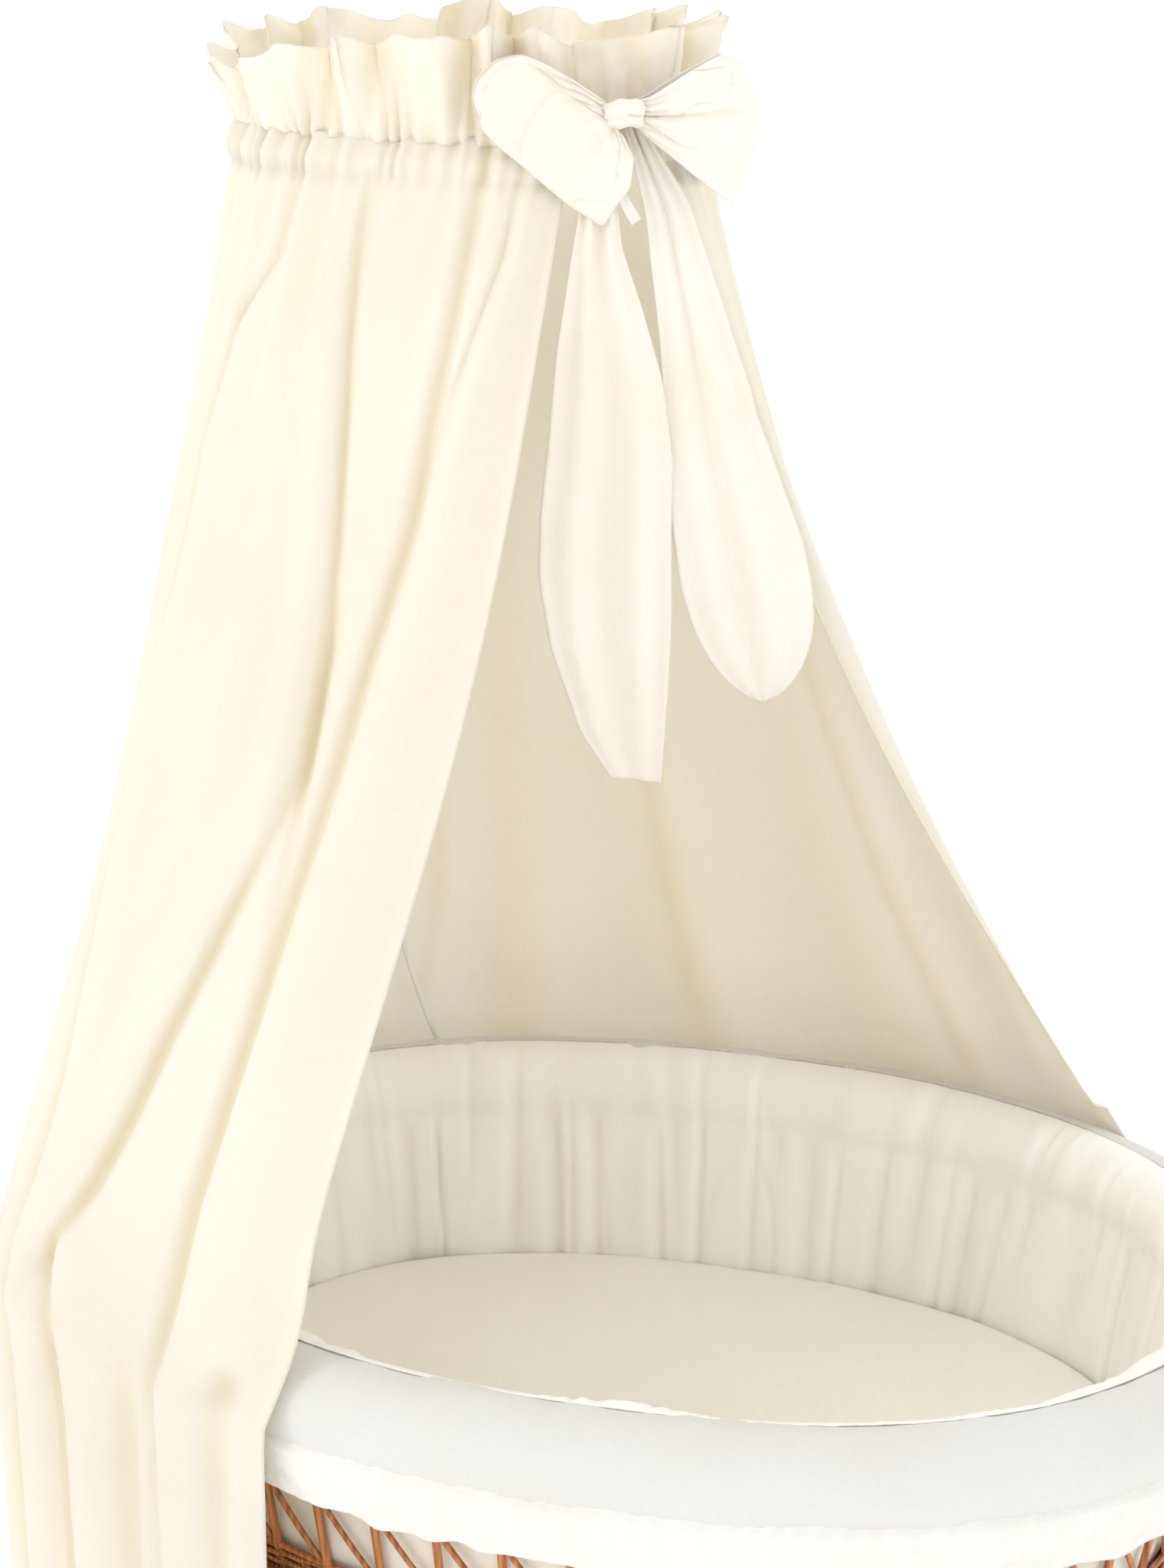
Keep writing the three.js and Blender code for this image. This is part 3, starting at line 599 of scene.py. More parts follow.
def canopy_mid(u, z):
    u, z = np.broadcast_arrays(np.asarray(u, float), np.asarray(z, float))
    deg = T0 + (T1 - T0) * u
    x, y, nx, ny = rim(np.radians(deg))
    rho = np.interp(deg, DRAPE[:, 0], DRAPE[:, 1]) / 1000
    kx, ky = x + nx * rho + CX, y + ny * rho + CY
    ta = np.radians(-50 - 340 * u)
    rx, ry = RX + NECK_A * np.cos(ta), RY + NECK_B * np.sin(ta)
    f = np.clip((NECK_Z - z) / (NECK_Z - DRAPE_Z), 0, 1)
    g = f - 0.07 * np.sin(PI * f)
    return np.stack([rx + (kx - rx) * g, ry + (ky - ry) * g, z], -1), rho


def fold_line(u, z, pts, sign, amp, width):
    """A fold along a line of (u, z) points: a ridge on one side of it and a valley on the other."""
    p = np.asarray(sorted(pts, key=lambda q: q[1]))
    uc = np.interp(z, p[:, 1], p[:, 0])
    a = np.asarray(amp, float)
    A = np.interp(z, a[:, 0][np.argsort(a[:, 0])], a[:, 1][np.argsort(a[:, 0])])
    W = width if np.isscalar(width) else np.interp(z, [0.3, 0.8, 1.55], width)
    k = (u - uc) / W
    k = np.where(k * sign < 0, k * 2.1, k * .85)                          # valleys are narrower than ridges
    return sign * A * k * np.exp(0.5 - k * k / 2)


def canopy_folds(u, z):
    d = np.zeros(np.broadcast(u, z).shape)
    # gathers under the casing, running together into fewer folds lower down
    r = np.random.default_rng(77)
    n = 44
    c = (np.arange(n) + 0.5 + r.uniform(-0.32, 0.32, n)) / n
    for i in range(n):
        drop = r.choice([0.035, 0.06, 0.11, 0.2], p=[0.4, 0.3, 0.2, 0.1])
        lean = r.uniform(-0.008, 0.008)
        f = np.clip(NECK_Z - z, 0, None)
        w = 0.0058 + 0.010 * f
        k = (u - c[i] - lean * f / 0.1) / w
        d += r.uniform(3.2, 6.2) * np.exp(-f / drop) * np.exp(-k * k)
    d -= 2.4 * np.exp(-np.clip(NECK_Z - z, 0, None) / 0.08)
    # long folds
    d += fold_line(u, z, [(.2, 1.536), (.205, 1.476), (.238, 1.428), (.25, 1.344), (.247, 1.252), (.255, 1.16), (.235, 1.02), (.21, .892), (.203, .816), (.19, .7), (.185, .3)], -1,
                   [(1.56, 1), (1.45, 4), (1.2, 6), (.95, 7), (.8, 5), (.6, 5), (.3, 8)], [.016, .014, .010])
    d += fold_line(u, z, [(.15, 1.52), (.147, 1.48), (.138, 1.416), (.128, 1.36), (.115, 1.288), (.105, 1.22), (.102, 1.184), (.092, 1.084), (.088, 1.0)], 1,
                   [(1.56, 1), (1.5, 4.5), (1.35, 7), (1.2, 7), (1.1, 4.5), (1.0, 0)], [.011, .011, .009])
    d += fold_line(u, z, [(.104, 1.24), (.103, 1.192), (.1, 1.14), (.105, 1.104), (.122, 1.032), (.138, .952), (.147, .892), (.158, .84), (.172, .80), (.175, .78), (.16, .74), (.15, .68), (.14, .3)], 1,
                   [(1.27, 0), (1.18, 5), (1.0, 9), (.86, 10), (.79, 8), (.74, 5), (.6, 6), (.3, 9)], [.012, .013, .012])
    d += fold_line(u, z, [(.060, 1.524), (.058, 1.452), (.058, 1.384), (.055, 1.304), (.062, 1.224), (.065, 1.136), (.07, 1.044), (.072, .928), (.072, .856), (.066, .79), (.062, .7), (.06, .3)], -1,
                   [(1.56, 1), (1.5, 5), (1.35, 8), (1.1, 9), (.9, 10), (.8, 9), (.72, 7), (.5, 7), (.3, 10)], [.013, .014, .013])
    d += fold_line(u, z, [(.036, 1.532), (.037, 1.484), (.044, 1.44), (.05, 1.396), (.055, 1.33)], -1,
                   [(1.55, 1), (1.5, 4), (1.42, 4.5), (1.36, 2), (1.3, 0)], .007)
    # creases where the cloth breaks over the padded rim, and folds below it
    d -= 9 * np.exp(-((u - .172) / .010) ** 2 - ((z - .778) / .017) ** 2)
    d += 6 * np.exp(-((u - .160) / .012) ** 2 - ((z - .80) / .02) ** 2)
    d += 7 * np.exp(-((u - .030) / .013) ** 2 - ((z - .795) / .022) ** 2)
    d -= 8 * np.exp(-((u - .028) / .010) ** 2 - ((z - .757) / .014) ** 2)
    low = smooth(.79, .70, z)
    for uc, a, w in ((.152, -7, .010), (.118, 8, .013), (.090, -7, .010), (.064, 5, .012), (.030, -6, .010), (.012, 5, .008), (.215, 7, .014), (.243, -7, .013)):
        d += low * a * np.exp(-((u - uc - 0.01 * (0.7 - z)) / w) ** 2)
    # soft folds of the side away from the opening
    far = smooth(.27, .34, u) * smooth(1.002, .93, u)
    ph = u * 9 + .35 * noise1(u * 7, 5) + .25 * np.sin((z - 1) * 2.3)
    d += far * smooth(1.54, 1.3, z) * (3.0 + 3.0 * smooth(1.2, .8, z)) * np.cos(2 * PI * ph)
    ph2 = u * 15 + .5 * noise1(u * 11, 6)
    d += far * smooth(.80, .55, z) * (5.0 + 5 * smooth(.6, .3, z)) * np.cos(2 * PI * ph2)
    for pts, a in (([(.60, 1.2), (.605, 1.05), (.61, .9), (.60, .78)], 5), ([(.72, 1.3), (.735, 1.1), (.75, .9), (.76, .78)], 4), ([(.86, 1.35), (.87, 1.15), (.885, .95), (.90, .80)], 5)):
        d += fold_line(u, z, pts, 1, [(1.5, 0), (1.35, a * .6), (1.0, a), (.8, a), (.74, 0)], .016)
    # the edge strips: hems turned to the front
    d -= 15 * smooth(.972, 1.0, u) * smooth(1.54, 1.40, z) * smooth(.74, .82, z)
    d += 3 * np.exp(-((u - .962) / .012) ** 2) * smooth(1.54, 1.40, z) * smooth(.74, .82, z)
    d += 3.0 * noise2(u * 9, z * 2.2, 91) + 1.1 * noise2(u * 34, z * 6.5, 92) * smooth(1.55, 1.5, z)
    return d / 1000


def canopy_piece():
    fine = np.concatenate([np.linspace(0, .0125, 7)[:-1], np.linspace(.0125, .30, 240)[:-1], np.linspace(.30, .985, 250)[:-1], np.linspace(.985, 1, 9)])
    zs = np.concatenate([np.linspace(1.5630, 1.47, 40)[:-1], np.linspace(1.47, .86, 96)[:-1], np.linspace(.86, .68, 46)[:-1], np.linspace(.68, .325, 40)[:-1], np.linspace(.325, .3005, 8)])
    U, Z = np.meshgrid(fine, zs, indexing="ij")
    P, rho = canopy_mid(U, Z)
    e = 0.004
    a, _ = canopy_mid(np.clip(U - e, 0, 1), Z)
    b, _ = canopy_mid(np.clip(U + e, 0, 1), Z)
    t = b - a
    N = np.stack([-t[..., 1], t[..., 0], np.zeros_like(U)], -1)
    N /= np.linalg.norm(N, axis=-1, keepdims=True)
    D = canopy_folds(U, Z)
    low_lim = np.where(Z < .80, .0412 - rho, -1)                       # stays clear of the padded rim
    near = smooth(.84, .80, Z)
    D = np.maximum(D, low_lim * near + (-1) * (1 - near))
    # small puckers of the casing, held at the ring
    c = ((-50 - 340 * U) / 360) % 1
    puck = (.0017 * np.cos(2 * PI * (c * 78 + .6 * noise1(c * 40, 34, 40))) + .0012 * np.cos(2 * PI * (c * 37 + .5 * noise1(c * 17, 38, 17)))) * smooth(1.518, 1.545, Z)
    ring_in = .0030 * np.exp(-((Z - 1.547) / .008) ** 2) - .0022 * smooth(1.556, 1.5625, Z) - .0018 * np.exp(-((Z - 1.533) / .004) ** 2)
    hem = (.0011 * smooth(.3215, .3205, Z) + .0011 * smooth(.0085, .0078, U) + .0011 * smooth(.9925, .9935, U)) * smooth(1.50, 1.49, Z)
    stitch = -.0006 * (np.exp(-((Z - .3235) / .0012) ** 2) + np.exp(-((U - .0092) / .0006) ** 2) + np.exp(-((U - .9915) / .0006) ** 2))
    D = D + puck + ring_in + hem + stitch
    P = P + N * D[..., None]
    # the free front edges sway a little sideways
    T = t / np.linalg.norm(t, axis=-1, keepdims=True)
    sway = smooth(.03, 0, U) * (-.010 * np.exp(-((Z - .795) / .05) ** 2) + .004 * np.sin(Z * 9) + .005 * smooth(.72, .6, Z))
    sway = sway + smooth(.97, 1, U) * .004 * np.sin(Z * 8 + 1)
    P = P + T * sway[..., None]
    P[..., 2] += np.where(Z < .5, .004 * noise1(U * 12, 17) * smooth(.5, .3, Z), 0)
    P[..., 2] = np.maximum(P[..., 2], HEM - .004)
    du = np.linalg.norm(np.diff(P, axis=0), axis=-1)
    uu = np.concatenate([np.zeros((1, P.shape[1])), np.cumsum(du, 0)], 0)
    vv = np.concatenate([np.zeros((P.shape[0], 1)), np.cumsum(np.linalg.norm(np.diff(P, axis=1), axis=-1), 1)], 1)
    ob = grid("canopy_cloth", P, uv=np.stack([uu, -vv], -1), flip=True)
    # painted shade: the 'fold' attribute drops where the cloth lies below its neighbours along u, so CANOPY_MAT
    # darkens the fold valleys
    even = np.linspace(0, 1, 900)
    De = np.stack([np.interp(even, fine, D[:, j]) for j in range(D.shape[1])], 1)
    k = np.exp(-.5 * (np.arange(-42, 43) / 14.0) ** 2)
    k /= k.sum()
    pe = np.pad(De, ((42, 42), (0, 0)), mode="edge")
    Me = sum(q * pe[i:i + 900] for i, q in enumerate(k))
    v = np.stack([np.interp(fine, even, (De - Me)[:, j]) for j in range(D.shape[1])], 1)
    v = np.clip(.95 + v * 95, .15, 1)
    ob.data.attributes.new("fold", "FLOAT", "POINT").data.foreach_set("value", v.ravel().astype(np.float32))
    thicken(ob, .0008)
    place(ob, CANOPY_MAT, "canopy", "canopy", slot="ivory_sheer")
    area = float((du.mean(1) * np.linalg.norm(np.diff(P, axis=1), axis=-1).mean()).sum())
    return ob


def ruffle_piece():
    nt, nh = 1100, 30
    th = np.linspace(0, 2 * PI, nt, endpoint=False)
    TH, K = np.meshgrid(th, np.linspace(0, 1, nh) ** 1.05, indexing="ij")
    c = TH / (2 * PI)
    zg = 1.5565 + .005 * np.exp(-((c - .56) / .13) ** 2) + .0012 * noise1(c * 61, 44, 61)
    top = 1.6350 - .030 * np.exp(-((c - .575) / .105) ** 2) - .004 * np.exp(-((c - .25) / .12) ** 2)
    n = 17
    ph = c * n + .62 * noise1(c * 13, 31, 13) + .22 * noise1(c * 29, 32, 29) + .30 * (K - .3) * noise1(c * 19, 45, 19)
    a = np.cos(2 * PI * ph)
    box = np.tanh(3.0 * a) / np.tanh(3.0)                                # flat fronts and sharp folds
    swell = K ** .8
    amp = (.0008 + .0118 * swell) * (1 + .40 * noise1(c * 23, 33, 23))
    small = np.cos(2 * PI * (c * 78 + .6 * noise1(c * 40, 34, 40)))
    mids = np.cos(2 * PI * (c * 37 + .5 * noise1(c * 17, 38, 17)))
    rho = .0004 + .0100 * K ** 1.3 + amp * (box * .8 + a * .2) + .0030 * small * (1 - K) ** 2.2 + .0026 * mids * (1 - K) ** 1.2 * smooth(0, .15, K)
    rho -= .0026 * np.exp(-(K / .05) ** 2)
    rho += .0030 * fbm2(c * 40, K * 2.4, 35, 40) * K ** .6
    ds = -.42 * amp * np.sin(4 * PI * ph) * K ** .5 + .004 * noise1(c * 17, 36, 17) * K
    l = np.hypot(np.cos(TH) / NECK_A, np.sin(TH) / NECK_B)
    nx, ny = np.cos(TH) / NECK_A / l, np.sin(TH) / NECK_B / l
    X = RX + NECK_A * np.cos(TH) + rho * nx - ds * ny
    Y = RY + NECK_B * np.sin(TH) + rho * ny + ds * nx
    Z = zg + (top - zg) * K + K * (.0050 * noise1(c * 21, 37, 21) + .0040 * box + .003 * noise1(c * 61, 39, 61)) + K * K * .004 * noise1(ph, 40, n)
    P = np.stack([X, Y, Z], -1)
    lens = np.linalg.norm(np.roll(P, -1, 0) - P, axis=-1).mean(1)
    uu = np.concatenate([[0], np.cumsum(lens)[:-1]])[:, None] + 0 * K
    ob = grid("ruffle", P, cu=True, uv=np.stack([uu, Z], -1))
    # painted shade in the valleys of the pleats
    fold_shade(ob, rho, 16, 70, .88)
    thicken(ob, .0009)
    place(ob, RUFFLE_MAT, "canopy", "canopy_heading", slot="ivory_sheer")
    return ob


CANOPY = canopy_piece()
RUFFLE = ruffle_piece()

# ------------------------------------------------------------------ bow
BE = np.array([.892, .451, 0]) / np.hypot(.892, .451)
BN = np.array([BE[1], -BE[0], 0])
BO = np.array([RX + .136, RY - .092, 1.589])


def bow_at(x, y, d):
    x, y, d = np.broadcast_arrays(x, y, d)
    return BO + (x[..., None] * BE + d[..., None] * BN) / 1000 + np.stack([0 * y, 0 * y, y], -1) / 1000


def curve(pts, n):
    p = np.asarray(pts, float)
    s = np.concatenate([[0], np.cumsum(np.hypot(*np.diff(p, axis=0).T))])
    t = np.linspace(0, s[-1], n)
    q = np.stack([np.interp(t, s, p[:, 0]), np.interp(t, s, p[:, 1])], -1)
    for _ in range(max(2, n // 14)):                                     # rounds the corners
        q[1:-1] = (q[:-2] + 2 * q[1:-1] + q[2:]) / 4
    return q


def bow_loop(name, upper, lower, end, knot, front, back, seed, crease):
    nv, nw = 64, 60
    U, L, E, K = curve(upper, nv), curve(lower, nv), curve(end, nw), curve(knot, nw)
    v, w = np.linspace(0, 1, nv)[:, None], np.linspace(0, 1, nw)[None, :]
    P = (U[:, None] * (1 - w[..., None]) + L[:, None] * w[..., None] + K[None] * (1 - v[..., None]) + E[None] * v[..., None]
         - (U[0] * ((1 - v) * (1 - w))[..., None] + L[0] * ((1 - v) * w)[..., None] + U[-1] * (v * (1 - w))[..., None] + L[-1] * (v * w)[..., None]))
    puff = np.sin(PI * np.clip(v, 0, 1) ** .62) ** .7
    side = np.sin(PI * (.12 + .76 * w)) ** .6
    ray = (np.cos(2 * PI * (w * 3.3 + .3 * noise1(w * 5, seed))) * (1 - v) ** 1.6 * smooth(0, .12, v) * 2.6
           + np.cos(2 * PI * (w * 6.1 + .2)) * (1 - v) ** 3 * smooth(0, .06, v) * 1.5)
    rough = 1.9 * fbm2(v * 3.6, w * 3.1, seed + 3) * smooth(0, .2, v) + .5 * noise2(v * 13, w * 11, seed + 9)
    rough = rough - 1.9 * np.clip(1 - 3.2 * np.abs(noise2(v * 2.6 + w * 1.5, w * 3.4 - v, seed + 12)), 0, 1) ** 2 * smooth(.05, .25, v)
    rough = rough + 1.5 * np.clip(1 - 3.6 * np.abs(noise2(v * 3.4 - w, w * 2.7 + v, seed + 14)), 0, 1) ** 2 * smooth(.05, .25, v)
    cr = sum(-a * np.exp(-((w - (w0 + (w1 - w0) * v)) / s) ** 2) * smooth(v0 - .1, v0 + .08, v) * smooth(v1 + .12, v1 - .08, v) for a, w0, w1, s, v0, v1 in crease)
    round_end = np.sqrt(np.clip(1 - np.clip((v - .93) / .07, 0, 1) ** 2, 0, 1))
    F = (front[0] + front[1] * puff * side) * round_end + back[0] * (1 - round_end) * .5 + (ray + rough + cr) * (.25 + .75 * round_end)
    B = (back[0] - back[1] * puff * side) * round_end + back[0] * (1 - round_end) * .5 + .8 * fbm2(v * 3, w * 3, seed + 5) * round_end
    front_s = bow_at(P[..., 0], P[..., 1], F)
    back_s = bow_at(P[..., 0] * 1.0, P[..., 1], B)
    S = np.concatenate([front_s, back_s[::-1][1:]], 0)
    uu = np.concatenate([[0], np.cumsum(np.linalg.norm(np.diff(S, axis=0), axis=-1).mean(1))])[:, None] + 0 * S[..., 0]
    vv = np.concatenate([[0], np.cumsum(np.linalg.norm(np.diff(S, axis=1), axis=-1).mean(0))])[None, :] + 0 * S[..., 0]
    ob = grid(name, S, uv=np.stack([uu, vv], -1))
    return thicken(ob, .0012)


LOOP_L = bow_loop("bow_loop_left_cloth",
                  [(-5, 0), (-11, 2), (-36, 19), (-61, 31), (-80, 27), (-93, 14), (-96, 2), (-89, -18)],
                  [(0, -18), (6, -24), (13, -38), (10, -58), (-8, -84)],
                  [(-89, -18), (-75, -32), (-60, -44), (-30, -70), (-8, -84)], [(-5, 0), (-6, -9), (0, -18)],
                  (5, 11), (-3, 2), 51, [(3.2, .30, .42, .05, .05, .75), (2.4, .62, .8, .06, .1, .9), (1.8, .12, .1, .05, .2, .7)])
LOOP_R = bow_loop("bow_loop_right_cloth",
                  [(16, 0), (21, 1), (48, 17), (75, 30)], [(16, -18), (21, -23), (40, -38), (60, -54), (85, -73)],
                  [(75, 30), (90, 22), (100, 4), (102, -15), (97, -44), (85, -73)], [(16, 0), (18, -9), (16, -18)],
                  (4, 10), (-3, 2), 61, [(5.0, .52, .38, .05, .06, .96), (2.2, .25, .2, .06, .1, .8), (2.0, .8, .74, .06, .1, .8)])


def bow_tail(name, left, right, depth, amp, seed, ridges, drop=0.0, fold=None):
    nv, nw = 150, 34
    y0, y1 = left[0][1], left[-1][1]
    tv = np.linspace(0, 1, nv) ** .92
    y = y0 + (y1 - y0) * tv
    l = np.asarray(sorted(left, key=lambda p: p[1]), float)
    r = np.asarray(sorted(right, key=lambda p: p[1]), float)
    xl, xr = np.interp(y, l[:, 1], l[:, 0]), np.interp(y, r[:, 1], r[:, 0])
    for a in (xl, xr):
        for _ in range(5):
            a[1:-1] = (a[:-2] + 2 * a[1:-1] + a[2:]) / 4
    w = np.linspace(0, 1, nw)[None, :]
    v = tv[:, None]
    X = xl[:, None] * (1 - w) + xr[:, None] * w
    Y = y[:, None] + drop * w * smooth(.85, 1, v)
    d = depth + amp * smooth(1.06, .80, v) * sum(a * np.exp(-((w - (w0 + (w1 - w0) * v)) / s) ** 2) for a, w0, w1, s in ridges)
    d = d + 1.2 * noise2(v * 5, w * 2.0, seed) + .45 * noise2(v * 16, w * 5, seed + 1)
    d = d + amp * .5 * np.cos(2 * PI * (w * 2.2 + .1)) * (1 - v) ** 2
    if fold:
        d = d + fold(v, w)
    edge = np.maximum(smooth(.06, .05, w), smooth(.94, .95, w))
    d = d + .5 * edge
    S = bow_at(X, Y, d)
    uu = np.concatenate([[0], np.cumsum(np.linalg.norm(np.diff(S, axis=0), axis=-1).mean(1))])[:, None] + 0 * w
    vv = (X - xl[:, None]) / 1000
    ob = grid(name, S, uv=np.stack([uu, vv], -1))
    return thicken(ob, .0010)


TAIL_L = bow_tail("bow_tail_left_cloth",
                  [(-16, -50), (-18, -60), (-28, -110), (-38, -170), (-45, -245), (-50, -290), (-51, -333), (-43, -384), (-21, -449), (2, -485)],
                  [(6, -50), (4, -60), (8, -100), (22, -140), (38, -194), (46, -250), (45, -304), (46, -360), (44, -417), (39, -485)],
                  -8, 4.5, 71, [(1.0, .30, .18, .10), (-.8, .5, .42, .10), (.9, .72, .70, .12), (-.5, .9, .86, .08)], drop=-7)
TAIL_R = bow_tail("bow_tail_right_cloth",
                  [(10, -18), (12, -24), (26, -80), (36, -165), (40, -230), (46, -302), (54, -350), (64, -380), (76, -402), (90, -419), (104, -430), (113, -434.5)],
                  [(24, -18), (26, -24), (56, -70), (84, -150), (108, -221), (144, -317), (151, -350), (153, -374), (151, -392), (146, -408), (138, -421), (129, -430), (121, -434.5)],
                  -13, 5, 81, [(.9, .22, .22, .12), (-.9, .45, .40, .07), (1.1, .62, .60, .12), (-.6, .86, .84, .08)],
                  fold=lambda v, w: -4.5 * np.exp(-((v - .40 - .10 * w) / .035) ** 2) * smooth(.35, .7, w) + 2.5 * np.exp(-((v - .34 - .1 * w) / .05) ** 2) * smooth(.35, .7, w))


def bow_knot():
    nu, nv = 56, 40
    a, b = np.linspace(0, 2 * PI, nu, endpoint=False)[:, None], np.linspace(-PI / 2, PI / 2, nv)[None, :]
    e = .34
    ca, sa = np.cos(a), np.sin(a)
    rr = np.cos(b) ** e
    grooves = 1 - .045 * np.cos(7 * a + 1.3 * np.sin(b * 2)) - .02 * np.cos(13 * a + .7)
    sb = np.sin(b)
    x = 5.5 + 14.6 * np.sign(sb) * np.abs(sb) ** .7 + .8 * np.sin(3 * a) * np.abs(sb) ** 3
    waist = 1 - .10 * np.cos(b * 1.2) ** 4 + .05 * np.sin(x * .45)
    y = -9 + 10.2 * rr * waist * np.sign(sa) * np.abs(sa) ** .62 * grooves + .10 * (x - 5.5)
    d = 7.0 + 9.6 * rr * waist * np.sign(ca) * np.abs(ca) ** .7 * grooves
    S = bow_at(x, y + .8 * np.sin(x * .25), d)
    return grid("bow_knot_cloth", S, cu=True, uv=np.stack([a * .0095 + 0 * b, b * .012 + 0 * a], -1), flip=True)


KNOT = bow_knot()
w_, v_ = np.linspace(0, 1, 8)[None, :], np.linspace(0, 1, 14)[:, None]
TIE = thicken(grid("bow_tie_end", bow_at(4 + 14 * v_ + (w_ - .5) * 6.8, -60 - 23 * v_ + (w_ - .5) * 4.2, -4.5 + 1.2 * np.sin(v_ * 5) + .4 * np.cos(w_ * 6)),
                   uv=np.stack([v_ * .026 + 0 * w_, w_ * .006 + 0 * v_], -1)), .0014)
place(LOOP_L, BOW_MAT, "canopy", "bow_loop_left", slot="white_cotton")
place(LOOP_R, BOW_MAT, "canopy", "bow_loop_right", slot="white_cotton")
place(TAIL_L, BOW_MAT, "canopy", "bow_tail_left", slot="white_cotton")
place(TAIL_R, BOW_MAT, "canopy", "bow_tail_right", slot="white_cotton")
place(KNOT, BOW_MAT, "canopy", "bow_knot", slot="white_cotton")
place(TIE, BOW_MAT, "canopy", slot="white_cotton")

# ------------------------------------------------------------------ basket fabrics
def oval_uv(P, closed_first=True):
    du = np.linalg.norm(np.roll(P, -1, 0) - P, axis=-1).mean(1)
    uu = np.concatenate([[0], np.cumsum(du)[:-1]])[:, None] + 0 * P[..., 0]
    vv = np.concatenate([[0], np.cumsum(np.linalg.norm(np.diff(P, axis=1), axis=-1).mean(0))])[None, :] + 0 * P[..., 0]
    return np.stack([uu, vv], -1)


def ovals(n, rho_z):
    """Closed strip round the basket; rho_z(t, s) gives offset and height arrays [n, m]."""
    s = np.arange(n) / n * ARC_L
    t = t_of_s(s)[:, None]
    rho, z = rho_z(t, s[:, None] / ARC_L)
    return at_rim(t + 0 * rho, rho, z)


def roll_piece():
    n, m = 620, 34
    a = np.radians(np.linspace(-84, 264, m))[None, :]

    def f(t, s):
        r = .0368 + 0 * a * s
        inner = np.exp(-((a - math.radians(196)) / .55) ** 2)             # towards the bumper seam
        under = smooth(math.radians(-40), math.radians(-84), a) + smooth(math.radians(225), math.radians(264), a)
        tight = .5 + .5 * noise1(s * 31, 101, 31)
        puck = np.cos(2 * PI * (s * 118 + .8 * noise1(s * 47, 102, 47)))
        puck2 = np.cos(2 * PI * (s * 63 + .7 * noise1(s * 29, 103, 29)))
        r = r - .0003 * inner * tight * (puck * .7 + puck2) - .0013 * under * (puck + puck2 * .5)
        r = r + .0009 * fbm2(s * 44, a * 1.2, 104, 44) + .0005 * noise2(s * 120, a * 2.5, 105, 120)
        r = r + .0003 * noise2(s * 260, a * 1.0, 107, 260) * smooth(.2, .8, np.abs(np.cos(a)))
        return r * np.cos(a), PAD_Z + r * np.sin(a)
    P = ovals(n, f)
    return grid("rim_roll", P, cu=True, cv=True, uv=oval_uv(P))


